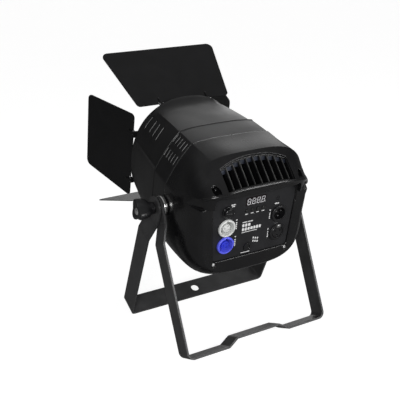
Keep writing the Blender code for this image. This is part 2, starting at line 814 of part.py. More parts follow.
def panel_holes():
    holes = [(POWER_X, POWER_OUT_Z, 11.6, 24), (POWER_X, POWER_IN_Z, 11.6, 24),
             (DATA_X, DATA_OUT_Z, 10.4, 24), (DATA_X, DATA_IN_Z, 10.4, 24),
             (*FUSE_XZ, 6.3, 16), (*PORT_XZ, 4.7, 12)]
    holes += [(x, BUTTON_Z, BUTTON_R + 0.4, 10) for x in BUTTON_X]
    holes.append((*MIC_XZ, 0.7, 6))
    for i in range(6):
        angle = math.pi * i / 3
        holes.append((MIC_XZ[0] + 2.4 * math.cos(angle), MIC_XZ[1] + 2.4 * math.sin(angle), 0.7, 6))
    return holes


def power_socket(name, panel, z, color):
    """A round locking mains socket: barrel, flange, ring groove and centre core."""
    plastic = material(f"{name}_plastic", color, 0.35)
    profile = [(11.2, -20.0), (11.2, GAP), (12.4, GAP), (12.4, 2.4), (11.7, 3.4), (9.7, 3.4), (9.7, -11.0),
               (5.2, -11.0), (5.2, 1.4), (4.4, 2.2)]
    socket = finish(name, turned(profile, 24, (POWER_X, z)), panel, plastic)
    key = box((POWER_X - 1.6, -9.0, z + 9.0), (POWER_X + 1.6, 3.8, z + 10.9))
    boolean(socket, key)


def data_socket(name, panel, z, female):
    """A round data socket with three contacts."""
    metal = material("data_socket_black", (0.02, 0.02, 0.02), 0.4)
    face = 1.2 if female else -11.0
    profile = [(10.0, -20.0), (10.0, GAP), (12.2, GAP), (12.2, 1.8), (11.5, 2.5), (8.6, 2.5), (8.6, face)]
    socket = finish(name, turned(profile, 24, (DATA_X, z)), panel, metal)
    contacts = bmesh.new()
    for angle in (30.0, 150.0, 270.0):
        x = DATA_X + 4.6 * math.cos(math.radians(angle))
        height = z + 4.6 * math.sin(math.radians(angle))
        low, high = (-8.0, 4.0) if female else (-13.0, -1.0)
        add_turned(contacts, [(1.25, low), (1.25, high)], 8, (x, height))
    boolean(socket, contacts, "DIFFERENCE" if female else "UNION")
    if female:
        boolean(socket, box((DATA_X - 3.3, -3.0, z + 7.7), (DATA_X + 3.3, 6.0, z + 12.8)))


def build_sockets(panel, latch_frame, fuse_frame):
    power_socket("power_out_socket", panel, POWER_OUT_Z, (0.75, 0.76, 0.74))
    power_socket("power_in_socket", panel, POWER_IN_Z, (0.05, 0.09, 0.75))
    data_socket("dmx_out_socket", panel, DATA_OUT_Z, True)
    data_socket("dmx_in_socket", panel, DATA_IN_Z, False)
    metal = material("latch_metal", (0.5, 0.5, 0.5), 0.35, 1.0)
    outline = [(-3.0, -1.9), (3.0, -1.9), (3.0, 1.9), (-3.0, 1.9)]
    finish("dmx_latch", prism(rounded_outline(outline, (0.8,) * 4, 2), -0.6, 4.0), latch_frame, metal)
    black = material("fuse_black", (0.015, 0.015, 0.015), 0.3)
    holder = [(5.9, -16.0), (5.9, GAP), (7.6, GAP), (7.6, 1.6), (6.9, 2.3), (5.2, 2.3), (5.2, -8.0)]
    finish("fuse_holder", turned(holder, 18, FUSE_XZ), panel, black)
    cap = finish("fuse_cap", turned([(4.8, -6.0), (4.8, 2.7), (6.6, 2.7), (6.6, 6.0), (5.9, 6.8)], 18),
                 fuse_frame, black)
    boolean(cap, box((-4.4, 5.4, -0.7), (4.4, 8.0, 0.7)))
    plug = [(4.2, -7.0), (4.2, GAP), (6.0, GAP), (6.0, 1.4), (5.3, 2.0), (3.2, 2.0), (3.2, 0.6)]
    finish("service_plug", turned(plug, 16, PORT_XZ), panel, black)


def build_electronics(panel, button_frames):
    smoke = material("display_smoke", (0.02, 0.01, 0.01), 0.1)
    x, z = DISPLAY_XZ
    rings = []
    for grow, y in ((2.5, -8.0), (2.5, -3.0), (-GAP, -3.0), (-GAP, 0.5)):
        half_w, half_h = DISPLAY_SIZE[0] / 2 + grow, DISPLAY_SIZE[1] / 2 + grow
        rings.append([(x - half_w, y, z - half_h), (x + half_w, y, z - half_h), (x + half_w, y, z + half_h),
                      (x - half_w, y, z + half_h)])
    finish("display_module", rings_solid(rings), panel, smoke)
    cap = material("button_black", (0.03, 0.03, 0.03), 0.5)
    profile = [(3.2, -3.6), (3.2, -2.6), (BUTTON_R, -2.6), (BUTTON_R, 1.1), (1.8, 1.5)]
    for i, parent in enumerate(button_frames):
        finish(f"menu_button_{i + 1}", turned(profile, 16), parent, cap)
    capsule = material("capsule_metal", (0.6, 0.6, 0.6), 0.4, 1.0)
    finish("microphone", turned([(4.8, -8.0), (4.8, -2.0)], 20, MIC_XZ), panel, capsule)
    board = material("circuit_green", (0.02, 0.16, 0.06), 0.5)
    finish("control_board", box((-28.0, -12.0, -43.0), (28.0, -10.4, 40.0)), panel, board)


# ---------------------------------------------------------------- barn doors


def stations(name):
    half = TOP_STATION if name in ("top", "bottom") else SIDE_STATION
    return (-half, half)


def side_turns():
    return (("top", 0.0), ("left", 90.0), ("bottom", 180.0), ("right", -90.0))


def lug_outline():
    """A (y, z) outline of a ring lug, round about the hinge axis."""
    outline = [(-128.7, 76.9), (-128.7, 80.4), (-130.0, 81.1)]
    for i in range(9):
        angle = math.pi / 2 + math.pi * i / 8
        outline.append((HINGE_Y + 2.2 * math.cos(angle), HINGE_R + 2.2 * math.sin(angle)))
    outline.append((-130.0, 76.7))
    return outline


def turned_side(bm, degrees):
    """Turn a tool about the y axis to another side of the ring."""
    turn = Matrix.Rotation(math.radians(degrees), 4, "Y")
    bmesh.ops.transform(bm, matrix=turn, verts=bm.verts)
    return bm


def build_barn_ring(ring_frame):
    black = material("barn_black", (0.02, 0.02, 0.02), 0.6)
    profile = [(RING_R[0], RING_Y[0]), (RING_R[1], RING_Y[0]), (RING_R[1], RING_Y[1]),
               (RING_R[0], RING_Y[1])]
    ring = finish("barn_door_ring", turned(profile, 40, closed=True), ring_frame, black)
    for name, degrees in side_turns():
        feet, lugs, holes = bmesh.new(), bmesh.new(), bmesh.new()
        for x in stations(name):
            add_box(feet, (x - 5.0, RING_Y[0] + 0.1, 66.0), (x + 5.0, RING_Y[1] - 0.1, 80.4))
            add_cross_prism(lugs, lug_outline(), x - 1.0, x + 1.0)
            add_x_cylinder(holes, 1.4, x - 3.0, x + 3.0, 12, HINGE_Y, HINGE_R)
        boolean(ring, turned_side(feet, degrees), "UNION")
        boolean(ring, turned_side(lugs, degrees), "UNION")
        boolean(ring, turned_side(holes, degrees))


def build_hinge_pin(name, side_frame, station):
    """A rivet through one ring lug and the leaf tab outside it."""
    steel = material("rivet_steel", (0.4, 0.4, 0.4), 0.35, 1.0)
    way = 1 if station > 0 else -1
    start = abs(station)
    profile = [(2.0, start - 2.5), (2.0, start - 1.3), (1.1, start - 1.3), (1.1, start + 3.6),
               (2.0, start + 3.6), (2.0, start + 4.6)]
    finish(name, x_turned(profile, way, 8, False), side_frame, steel)


def build_leaf(name, leaf_frame, inner_half, outer_half, length, station_half):
    black = material("barn_black", (0.02, 0.02, 0.02), 0.6)
    corners = [(-inner_half, -LEAF_START), (inner_half, -LEAF_START), (outer_half, -length),
               (-outer_half, -length)]
    outline = rounded_outline(corners, (6.0, 6.0, 9.0, 9.0), 5)
    rings = [[(x, y, z) for x, y in outline] for z in (-LEAF_T / 2, LEAF_T / 2)]
    leaf = finish(name, rings_solid(rings), leaf_frame, black)
    notches, tabs, holes = bmesh.new(), bmesh.new(), bmesh.new()
    tab = [(2.0 * math.cos(a), 2.0 * math.sin(a)) for a in (math.radians(d) for d in range(-90, 91, 30))]
    tab += [(-9.0, 2.0), (-13.0, 0.4), (-13.0, -0.4), (-9.0, -2.0)]
    for way in (-1, 1):
        notch = sorted((way * (station_half - 3.2), way * (station_half + 5.2)))
        add_box(notches, (notch[0], -3.2, -4.0), (notch[1], 3.0, 4.0))
        ends = sorted((way * (station_half + 1.3), way * (station_half + 3.3)))
        add_cross_prism(tabs, tab, ends[0], ends[1])
        add_x_cylinder(holes, 1.4, ends[0] - 1, ends[1] + 1, 12)
    boolean(leaf, notches)
    boolean(leaf, tabs, "UNION")
    boolean(leaf, holes)


def build_barn_doors(ring_frame):
    build_barn_ring(ring_frame)
    angles = {"top": TOP_ANGLE, "bottom": BOTTOM_ANGLE, "left": SIDE_ANGLE, "right": SIDE_ANGLE}
    for name, degrees in side_turns():
        turn = math.radians(degrees)
        place = (HINGE_R * math.sin(turn), HINGE_Y, HINGE_R * math.cos(turn))
        side = frame(f"{name}_hinge", ring_frame, place, 0.0, degrees)
        leaf_frame = frame(f"{name}_leaf_axis", side, (0, 0, 0), -angles[name])
        sizes = TOP_LEAF if name in ("top", "bottom") else SIDE_LEAF
        build_leaf(f"leaf_{name}", leaf_frame, *sizes, stations(name)[1])
        for number, station in enumerate(stations(name)):
            build_hinge_pin(f"hinge_rivet_{name}_{number + 1}", side, station)


# ---------------------------------------------------------------- assembly


def main():
    clear_scene()
    base = frame("pivot", None, (0.0, PIVOT_Y, PIVOT_HEIGHT))
    rear_frame = frame("rear_bracket_axis", base, (0, 0, 0), REAR_SPLAY)
    front_frame = frame("front_bracket_axis", base, (0, 0, 0), -FRONT_SPLAY)
    head = frame("head_axis", base, (0, 0, 0), -HEAD_TILT)
    panel = frame("panel_plane", head, (0, PANEL_Y, 0), PANEL_LEAN)
    build_brackets(rear_frame, front_frame)
    for side, word in ((1, "left"), (-1, "right")):
        knob_frame = frame(f"knob_axis_{word}", head, (0, 0, 0))
        tilt_hardware(side, word, rear_frame, head, knob_frame)
    build_front_housing(head)
    build_rear_cover(head)
    build_cover_screws(head, panel)
    build_optics(head)
    build_heat_sink(head)
    build_fan(head, frame("fan_axis", head, (0, 0, 0)))
    build_chassis(head)
    build_panel(panel)
    latch = frame("dmx_latch_axis", panel, (DATA_X, 0, DATA_OUT_Z + 10.1))
    fuse = frame("fuse_cap_axis", panel, (FUSE_XZ[0], 0, FUSE_XZ[1]))
    build_sockets(panel, latch, fuse)
    buttons = [frame(f"button_axis_{i + 1}", panel, (x, 0, BUTTON_Z)) for i, x in enumerate(BUTTON_X)]
    build_electronics(panel, buttons)
    build_barn_doors(frame("barn_ring_axis", head, (0, 0, 0)))


main()
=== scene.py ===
"""Looks of the par can light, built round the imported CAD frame."""

import json
import math

import bmesh
import bpy
from mathutils import Matrix, Vector


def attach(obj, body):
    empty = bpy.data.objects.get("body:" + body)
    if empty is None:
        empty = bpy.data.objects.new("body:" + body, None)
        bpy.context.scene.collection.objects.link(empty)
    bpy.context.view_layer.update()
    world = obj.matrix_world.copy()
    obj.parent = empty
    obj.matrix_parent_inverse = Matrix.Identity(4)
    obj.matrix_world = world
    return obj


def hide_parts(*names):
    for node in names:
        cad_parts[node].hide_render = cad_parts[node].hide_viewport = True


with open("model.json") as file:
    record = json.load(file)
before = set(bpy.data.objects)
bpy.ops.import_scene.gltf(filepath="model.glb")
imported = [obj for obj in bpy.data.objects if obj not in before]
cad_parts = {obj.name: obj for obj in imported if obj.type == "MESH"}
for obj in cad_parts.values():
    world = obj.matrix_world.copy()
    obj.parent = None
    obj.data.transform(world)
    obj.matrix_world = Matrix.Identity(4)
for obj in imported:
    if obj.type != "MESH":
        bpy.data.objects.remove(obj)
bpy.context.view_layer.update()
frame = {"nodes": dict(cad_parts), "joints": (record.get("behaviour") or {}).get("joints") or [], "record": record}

MM = 0.001
# Clearance between pieces that touch, in millimetres
GAP = 0.3
# Edges sharper than this are rounded by a piece's bevel
BEVEL_ANGLE = math.radians(35.0)

joints = {joint["name"]: joint for joint in frame["joints"]}
mounts = {mount["name"]: mount for mount in frame["record"]["mounts"]}
PIVOT = Vector(joints["head_tilt"]["pos_m"])


# ---------------------------------------------------------------- frames


def turned_about_x(place, angle):
    return Matrix.Translation(place) @ Matrix.Rotation(angle, 4, "X")


def tilt_of(vector):
    return math.atan2(vector[2], vector[1])


HEAD = turned_about_x(PIVOT, tilt_of(joints["barn_ring_turn"]["axis"]))
PANEL_Y = 75.66
panel_normal = [-value for value in joints["fuse_cap_turn"]["axis"]]
PANEL = turned_about_x(HEAD @ Vector((0, PANEL_Y * MM, 0)), tilt_of(panel_normal))
down_rear = mounts["rear_foot_bar_face"]["axis"]
down_front = mounts["hanging_bar_face"]["axis"]
REAR = turned_about_x(PIVOT, math.atan2(down_rear[1], -down_rear[2]))
FRONT = turned_about_x(PIVOT, math.atan2(down_front[1], -down_front[2]))


# ---------------------------------------------------------------- mesh helpers


def skin(bm, rings, closed=False):
    """Skin rings of equal point count. An open stack gets a cap at each end."""
    loops = [[bm.verts.new(point) for point in ring] for ring in rings]
    pairs = list(zip(loops, loops[1:]))
    if closed:
        pairs.append((loops[-1], loops[0]))
    count = len(loops[0])
    for low, high in pairs:
        for i in range(count):
            j = (i + 1) % count
            bm.faces.new((low[i], low[j], high[j], high[i]))
    if not closed:
        bm.faces.new(loops[0])
        bm.faces.new(loops[-1])
    return bm


def solid(rings, closed=False):
    return skin(bmesh.new(), rings, closed)


def circle(radius, y, count, centre=(0.0, 0.0), phase=0.0):
    steps = (phase + 2 * math.pi * i / count for i in range(count))
    return [(centre[0] + radius * math.cos(a), y, centre[1] + radius * math.sin(a)) for a in steps]


def turned(profile, count=64, centre=(0.0, 0.0), closed=False, bm=None):
    """A turned solid round the y axis: profile holds (radius, y) pairs."""
    return skin(bm or bmesh.new(), [circle(r, y, count, centre) for r, y in profile], closed)


def x_turned(profile, side, count=64, closed=False, bm=None):
    """A turned solid round the x axis: profile holds (radius, x) pairs."""
    steps = [2 * math.pi * i / count for i in range(count)]
    rings = [[(side * x, r * math.cos(a), r * math.sin(a)) for a in steps] for r, x in profile]
    return skin(bm or bmesh.new(), rings, closed)


def box(low, high):
    return solid([[(low[0], y, low[2]), (high[0], y, low[2]), (high[0], y, high[2]), (low[0], y, high[2])]
                  for y in (low[1], high[1])])


def prism(outline, y0, y1, bm=None):
    """Extrude an (x, z) outline along y."""
    return skin(bm or bmesh.new(), [[(x, y, z) for x, z in outline] for y in (y0, y1)])


def cross_prism(outline, x0, x1):
    """Extrude a (y, z) outline along x."""
    return solid([[(x, y, z) for y, z in outline] for x in (x0, x1)])


def arc(centre, radius, start, end, steps):
    turns = (math.radians(start + (end - start) * i / steps) for i in range(steps + 1))
    return [(centre[0] + radius * math.cos(a), centre[1] + radius * math.sin(a)) for a in turns]


def fillet_path(points, radii, steps=10):
    """Round the inner corners of an open 2-D path with arcs of the given radii."""
    path = [Vector(points[0])]
    for before, here, after, radius in zip(points, points[1:], points[2:], radii):
        before, here, after = Vector(before), Vector(here), Vector(after)
        into, out = (here - before).normalized(), (after - here).normalized()
        turn = into.angle_signed(out)
        if radius <= 0 or abs(turn) < 1e-6:
            path.append(here)
            continue
        back = radius * math.tan(abs(turn) / 2)
        start = here - into * back
        side = Vector((-into.y, into.x)) * (-1 if turn > 0 else 1)
        centre = start + side * radius
        for i in range(steps + 1):
            path.append(centre + Matrix.Rotation(-turn * i / steps, 2) @ (start - centre))
    path.append(Vector(points[-1]))
    return path


def offset_path(path, distance):
    """Shift an open 2-D path sideways, with mitred corners."""
    shifted = []
    for i, point in enumerate(path):
        into = (point - path[i - 1]).normalized() if i else (path[1] - point).normalized()
        out = (path[i + 1] - point).normalized() if i < len(path) - 1 else into
        normal = Vector((-into.y - out.y, into.x + out.x)).normalized()
        shifted.append(point + normal * distance / max(0.2, normal.dot(Vector((-into.y, into.x)))))
    return shifted


def rounded(corners, radius, steps=8):
    """A closed outline with rounded corners. Radius is one number or one for each corner."""
    count = len(corners)
    radii = radius if isinstance(radius, (list, tuple)) else [radius] * count
    path = []
    for i in range(count):
        trio = (corners[i - 1], corners[i], corners[(i + 1) % count])
        path += fillet_path(trio, (radii[i],), steps)[1:-1]
    return [tuple(point) for point in path]


def rectangle(x, z, width, height):
    w, h = width / 2, height / 2
    return [(x - w, z - h), (x + w, z - h), (x + w, z + h), (x - w, z + h)]


def spun(bm, degrees, shift=(0.0, 0.0, 0.0)):
    """Turn a bmesh round the y axis, then shift it."""
    matrix = Matrix.Translation(shift) @ Matrix.Rotation(math.radians(degrees), 4, "Y")
    bmesh.ops.transform(bm, matrix=matrix, verts=bm.verts)
    return bm


def to_mesh(name, bm):
    bmesh.ops.recalc_face_normals(bm, faces=bm.faces)
    bmesh.ops.scale(bm, vec=(MM, MM, MM), verts=bm.verts)
    mesh = bpy.data.meshes.new(name)
    bm.to_mesh(mesh)
    bm.free()
    return mesh


def show(name, data):
    """Put an object in the scene."""
    obj = bpy.data.objects.new(name, data)
    bpy.context.scene.collection.objects.link(obj)
    return obj


def cut(mesh, tool_bm, operation="DIFFERENCE"):
    """The mesh after an exact Boolean with a bmesh tool."""
    base, tool = show("cut_base", mesh), show("cut_tool", to_mesh("cut_tool", tool_bm))
    modifier = base.modifiers.new("cut", "BOOLEAN")
    modifier.operation = operation
    modifier.solver = "EXACT"
    modifier.object = tool
    graph = bpy.context.evaluated_depsgraph_get()
    made = bpy.data.meshes.new_from_object(base.evaluated_get(graph))
    made.materials.clear()
    old = (base.data, tool.data)
    for obj in (base, tool):
        bpy.data.objects.remove(obj, do_unlink=True)
    for data in old:
        bpy.data.meshes.remove(data)
    return made


def piece(name, shape, mat, node=None, matrix=HEAD, body="head", smooth=32.0, bevel=0.0):
    """Put a bmesh in millimetres, or a mesh, in the scene as one visible piece riding on a body.

    Node is the CAD node that the piece stands for.
    Smooth is the angle in degrees up to which faces shade as one. Bevel is the width of rounded edges."""
    mesh = to_mesh(name, shape) if isinstance(shape, bmesh.types.BMesh) else shape
    mesh.name = name
    mesh.materials.append(mat)
    mesh.shade_smooth()
    obj = show(name, mesh)
    obj.matrix_world = matrix
    if bevel:
        modifier = obj.modifiers.new("edges", "BEVEL")
        modifier.width = bevel * MM
        modifier.segments = 2
        modifier.limit_method = "ANGLE"
        modifier.angle_limit = BEVEL_ANGLE
        modifier.harden_normals = True
        modifier.use_clamp_overlap = True
    else:
        mesh.set_sharp_from_angle(angle=math.radians(smooth))
        obj.modifiers.new("normals", "WEIGHTED_NORMAL").keep_sharp = True
    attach(obj, body)
    if node:
        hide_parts(node)


# ---------------------------------------------------------------- materials


class Nodes:
    """Short calls for building a node tree."""

    def __init__(self, tree):
        self.tree = tree

    def add(self, kind, **values):
        node = self.tree.nodes.new(kind)
        for key, value in values.items():
            setattr(node, key, value)
        return node

    def link(self, source, target):
        self.tree.links.new(source, target)

    def feed(self, socket, value):
        if isinstance(value, bpy.types.NodeSocket):
            self.link(value, socket)
        else:
            socket.default_value = value

    def math(self, operation, *values):
        node = self.add("ShaderNodeMath", operation=operation)
        for socket, value in zip(node.inputs, values):
            self.feed(socket, value)
        return node.outputs[0]

    def remap(self, value, low, high, to_low=0.0, to_high=1.0, **values):
        node = self.add("ShaderNodeMapRange", **values)
        for key, item in (("Value", value), ("From Min", low), ("From Max", high),
                          ("To Min", to_low), ("To Max", to_high)):
            self.feed(node.inputs[key], item)
        return node.outputs["Result"]

    def mix(self, share, first, second, **values):
        node = self.add("ShaderNodeMix", data_type="RGBA", **values)
        self.feed(node.inputs["Factor"], share)
        for socket, value in ((node.inputs[6], first), (node.inputs[7], second)):
            self.feed(socket, value if isinstance(value, bpy.types.NodeSocket) else (*value, 1.0))
        return node.outputs[2]

    def dot(self, first, second):
        node = self.add("ShaderNodeVectorMath", operation="DOT_PRODUCT")
        self.feed(node.inputs[0], first)
        self.feed(node.inputs[1], second)
        return node.outputs["Value"]

    def ray(self, kind):
        """1 for rays of one kind, such as Is Camera Ray, and 0 for the others."""
        return self.add("ShaderNodeLightPath").outputs[kind]


class Graph(Nodes):
    """One material's nodes. Every texture is laid in the piece's own coordinates."""

    def __init__(self, name, slot):
        self.mat = bpy.data.materials.new(name)
        self.mat.use_nodes = True
        super().__init__(self.mat.node_tree)
        self.shader = self.tree.nodes["Principled BSDF"]
        self.coords = self.add("ShaderNodeTexCoord").outputs["Object"]

    def shade(self, **values):
        """Feed the shader's inputs, named with an underscore for each space."""
        for key, value in values.items():
            self.feed(self.shader.inputs[key.replace("_", " ")], value)

    def stretch(self, scale):
        node = self.add("ShaderNodeMapping")
        self.link(self.coords, node.inputs["Vector"])
        node.inputs["Scale"].default_value = scale
        return node.outputs["Vector"]

    def cells(self, scale, **values):
        node = self.add("ShaderNodeTexVoronoi", **values)
        self.link(self.coords, node.inputs["Vector"])
        node.inputs["Scale"].default_value = scale
        return node

    def noise(self, scale, detail=3.0, rough=0.5, vector=None):
        node = self.add("ShaderNodeTexNoise")
        self.link(vector or self.coords, node.inputs["Vector"])
        node.inputs["Scale"].default_value = scale
        node.inputs["Detail"].default_value = detail
        node.inputs["Roughness"].default_value = rough
        return node.outputs["Fac"]

    def bevel(self, radius, samples=4):
        node = self.add("ShaderNodeBevel", samples=samples)
        node.inputs["Radius"].default_value = radius * MM
        return node.outputs["Normal"]

    def edges(self, radius):
        """Near 1 along convex and concave edges, 0 on open faces."""
        facing = self.dot(self.bevel(radius), self.add("ShaderNodeNewGeometry").outputs["Normal"])
        return self.remap(self.math("SUBTRACT", 1.0, facing), 0.02, 0.25)

    def bump(self, height, strength, distance, normal=None):
        node = self.add("ShaderNodeBump")
        node.inputs["Strength"].default_value = strength
        node.inputs["Distance"].default_value = distance * MM
        self.link(height, node.inputs["Height"])
        if normal:
            self.link(normal, node.inputs["Normal"])
        return node.outputs["Normal"]


def shaded(color, share):
    return tuple(min(1.0, channel * share) for channel in color)


def coated(name, slot, color, rough, grain, depth, round_off, wear=0.0, worn=(0.3, 0.3, 0.3),
           specular=0.5, vary=0.25, coat=0.0):
    """Paint or moulded plastic: mottled colour, dust, uneven gloss, a fine grain and rubbed edges.

    Grain is the size of the surface texture, depth its height and round_off the edges' radius, in mm."""
    g = Graph(name, slot)
    mottle = g.noise(38.0, 4.0, 0.6)
    fine = g.noise(1.0 / (grain * MM), 2.0, 0.55)
    tone = g.mix(g.remap(mottle, 0.3, 0.7), shaded(color, 1 - vary), shaded(color, 1 + vary))
    dust = g.math("MULTIPLY", g.remap(g.noise(9.0, 6.0, 0.7), 0.5, 0.8), DUST)
    tone = g.mix(dust, tone, tuple(min(1.0, channel * 0.6 + 0.12) for channel in color))
    if wear:
        rub = g.math("MULTIPLY", g.edges(0.5), g.remap(g.noise(160.0, 5.0, 0.7), 0.42, 0.66))
        tone = g.mix(g.math("MULTIPLY", rub, wear), tone, worn)
    normal = g.bevel(round_off, 6) if round_off else None
    g.shade(Base_Color=tone, Roughness=g.remap(mottle, 0.25, 0.75, rough - 0.05, rough + 0.06),
            Specular_IOR_Level=specular, Normal=g.bump(fine, 0.5, depth, normal))
    if coat:
        g.shade(Coat_Weight=coat, Coat_Roughness=COAT_ROUGH)
    return g.mat


def metal(name, slot, color, rough, stretch=(1.0, 1.0, 1.0), depth=0.02):
    """Plated or machined metal with fine tool marks along one direction and slight stains."""
    g = Graph(name, slot)
    marks = g.noise(900.0, 3.0, 0.6, g.stretch(stretch))
    stain = g.noise(60.0, 5.0, 0.65)
    g.shade(Base_Color=g.mix(g.remap(stain, 0.35, 0.7), color, shaded(color, 0.85)),
            Roughness=g.remap(marks, 0.25, 0.75, rough * 0.75, rough * 1.3), Metallic=1.0,
            Normal=g.bump(marks, 0.5, depth, g.bevel(0.25)))
    return g.mat


def clear_glass():
    """Clear glass with slight smears and a dimpled face."""
    g = Graph("clear_glass", "lens_glass")
    cells = g.cells(330.0, feature="SMOOTH_F1")
    g.shade(Base_Color=(0.93, 0.97, 0.97, 1), Transmission_Weight=1.0, IOR=1.46,
            Roughness=g.remap(g.noise(30.0, 5.0, 0.6), 0.45, 0.75, 0.02, 0.12),
            Normal=g.bump(cells.outputs["Distance"], 0.35, 0.25))
    return g.mat


def led_emitter():
    """A yellow phosphor disc with the fine grid of chips under it."""
    g = Graph("led_emitter", "led_board")
    cells = g.cells(420.0, feature="F1", distance="CHEBYCHEV")
    cells.inputs["Randomness"].default_value = 0.0
    grid = g.remap(cells.outputs["Distance"], 0.36, 0.5)
    tone = g.mix(grid, (0.85, 0.6, 0.06), (0.95, 0.78, 0.25))
    g.shade(Base_Color=g.mix(g.noise(200.0), tone, (0.8, 0.55, 0.05)), Roughness=0.35,
            Normal=g.bump(grid, 0.3, 0.1))
    return g.mat


def printed(name, color):
    """Screen-printed ink with slightly uneven cover."""
    g = Graph(name, "panel_black")
    uneven = g.noise(500.0, 4.0, 0.7)
    g.shade(Base_Color=g.mix(g.remap(uneven, 0.3, 0.8), color, shaded(color, 0.8)), Roughness=0.55,
            Normal=g.bump(uneven, 0.2, 0.02))
    return g.mat


def smoked_window():
    g = Graph("smoked_window", "display_smoke")
    smear = g.noise(90.0, 4.0, 0.6)
    g.shade(Base_Color=g.mix(smear, (0.004, 0.003, 0.004), (0.012, 0.006, 0.006)),
            Roughness=g.remap(smear, 0.4, 0.8, 0.08, 0.22), Normal=g.bump(smear, 0.1, 0.02, g.bevel(0.3)))
    return g.mat


def circuit_board():
    """Green solder mask over a faint lattice of tracks."""
    g = Graph("circuit_board", "circuit_green")
    bricks = g.add("ShaderNodeTexBrick")
    g.link(g.coords, bricks.inputs["Vector"])
    bricks.inputs["Scale"].default_value = 180.0
    bricks.inputs["Mortar Size"].default_value = 0.03
    tracks = bricks.outputs["Fac"]
    tone = g.mix(tracks, (0.012, 0.13, 0.045), (0.03, 0.26, 0.09))
    g.shade(Base_Color=g.mix(g.noise(70.0), tone, (0.01, 0.1, 0.035)), Roughness=0.35,
            Normal=g.bump(tracks, 0.3, 0.05, g.bevel(0.2)))
    return g.mat


# The most that dust lightens a coated surface, and the roughness of a glossy coat
DUST = 0.025
COAT_ROUGH = 0.15

GLOSS_BLACK = (0.005, 0.005, 0.0055)

# Coated surfaces: material, slot, colour, roughness, grain, its depth, edge radius, wear, worn colour
M_BRACKET = coated("bracket_paint", "bracket_black", (0.042, 0.042, 0.043), 0.38, 1.0, 0.07, 0.35, 0.5,
                   (0.1, 0.1, 0.1), specular=0.45)
M_HOUSING = coated("housing_paint", "housing_black", (0.007, 0.007, 0.0075), 0.36, 0.8, 0.04, 0.5, 0.3,
                   (0.1, 0.1, 0.105))
M_COVER = coated("cover_plastic", "cover_black", GLOSS_BLACK, 0.24, 0.5, 0.012, 1.2)
M_LIP = coated("lip_plastic", "cover_black", GLOSS_BLACK, 0.22, 0.5, 0.008, 0.0)
M_LEAF = coated("leaf_paint", "barn_black", GLOSS_BLACK, 0.45, 0.7, 0.03, 0.2, 0.3,
                (0.07, 0.07, 0.07), specular=0.3)
M_KNOB = coated("knob_plastic", "knob_black", (0.009, 0.009, 0.01), 0.34, 0.5, 0.03, 0.6)
M_RUBBER = coated("washer_rubber", "washer_rubber", (0.014, 0.014, 0.014), 0.75, 0.4, 0.05, 0.2,
                  specular=0.3)
M_TRIM = coated("trim_paint", "trim_black", (0.013, 0.013, 0.014), 0.45, 0.7, 0.05, 0.25, 0.3)
M_PANEL = coated("panel_paint", "panel_black", (0.013, 0.013, 0.0145), 0.45, 0.5, 0.03, 0.25,
                 specular=0.4)
M_FAN = coated("fan_plastic", "fan_black", (0.01, 0.01, 0.01), 0.45, 0.6, 0.03, 0.3)
M_BUTTON = coated("button_plastic", "button_black", (0.013, 0.013, 0.013), 0.4, 0.4, 0.02, 0.3)
M_DATA = coated("data_socket_shell", "data_socket_black", (0.008, 0.008, 0.009), 0.32, 0.4, 0.02, 0.3)
M_FUSE = coated("fuse_plastic", "fuse_black", (0.007, 0.007, 0.008), 0.25, 0.4, 0.02, 0.3, coat=0.2)
M_WHITE = coated("socket_pale", "socket_white", (0.72, 0.73, 0.72), 0.35, 0.4, 0.02, 0.3, vary=0.05)
M_BLUE = coated("socket_blue_ring", "socket_blue", (0.12, 0.14, 0.9), 0.33, 0.4, 0.02, 0.3, vary=0.08)
M_BLUE_DARK = coated("socket_blue_core", "socket_blue", (0.03, 0.045, 0.62), 0.35, 0.4, 0.02, 0.3,
                     vary=0.08)
# Pale grey for the strips along the housing's slots: a painted highlight on the slots' edges
M_SLOT_HIGHLIGHT = coated("painted_slot_highlight", "housing_black", (0.3, 0.3, 0.3), 0.4, 0.3, 0.02, 0.1, vary=0.5)
# Pale grey for the fins' raised ribs: a painted highlight along each fin's edge
M_FIN_HIGHLIGHT = coated("painted_fin_highlight", "cover_black", (0.06, 0.06, 0.058), 0.3, 0.4, 0.02, 0.2, vary=0.6)
M_GUIDE = coated("guide_sheet", "anodised_aluminium", (0.02, 0.024, 0.036), 0.3, 0.4, 0.02, 0.2,
                 vary=0.6)
M_BOARD = coated("led_ceramic", "led_board", (0.7, 0.7, 0.66), 0.45, 0.4, 0.02, 0.3, vary=0.08)
# Metals: material, slot, colour, roughness and, where the tool marks run one way, their stretch
M_ZINC = metal("zinc_plate", "zinc_steel", (0.9, 0.9, 0.89), 0.17, (0.2, 1.0, 1.0))
M_SCREW = metal("screw_plate", "screw_steel", (0.6, 0.6, 0.6), 0.25)
M_RIVET = metal("rivet_metal", "rivet_steel", (0.35, 0.35, 0.36), 0.35)
M_LATCH = metal("latch_plate", "latch_metal", (0.55, 0.55, 0.55), 0.3)
M_SINK = metal("sink_anodised", "anodised_aluminium", (0.36, 0.42, 0.58), 0.35, (1.0, 1.0, 0.05))
M_STRAP = metal("strap_zinc", "chassis_steel", (0.5, 0.5, 0.48), 0.35)
M_SUPPLY = metal("supply_sheet", "supply_case", (0.6, 0.6, 0.58), 0.4, (0.05, 1.0, 1.0))
M_MIRROR = metal("mirror_film", "reflector_mirror", (0.88, 0.88, 0.88), 0.12, depth=0.01)
M_CAPSULE = metal("capsule_can", "capsule_metal", (0.6, 0.6, 0.6), 0.35)
M_GLASS = clear_glass()
M_LED = led_emitter()
M_PRINT = printed("print_pale", (0.85, 0.85, 0.85))
M_DIGIT = printed("display_segment", (0.85, 0.85, 0.88))
M_SMOKE = smoked_window()
M_PCB = circuit_board()


# ---------------------------------------------------------------- brackets

STRIP_T = 3.0
STUD_HOLE_R = 4.4
CLAMP_HOLE_R = 6.25
JOG_R = 7.0
RISE_R = 3.0


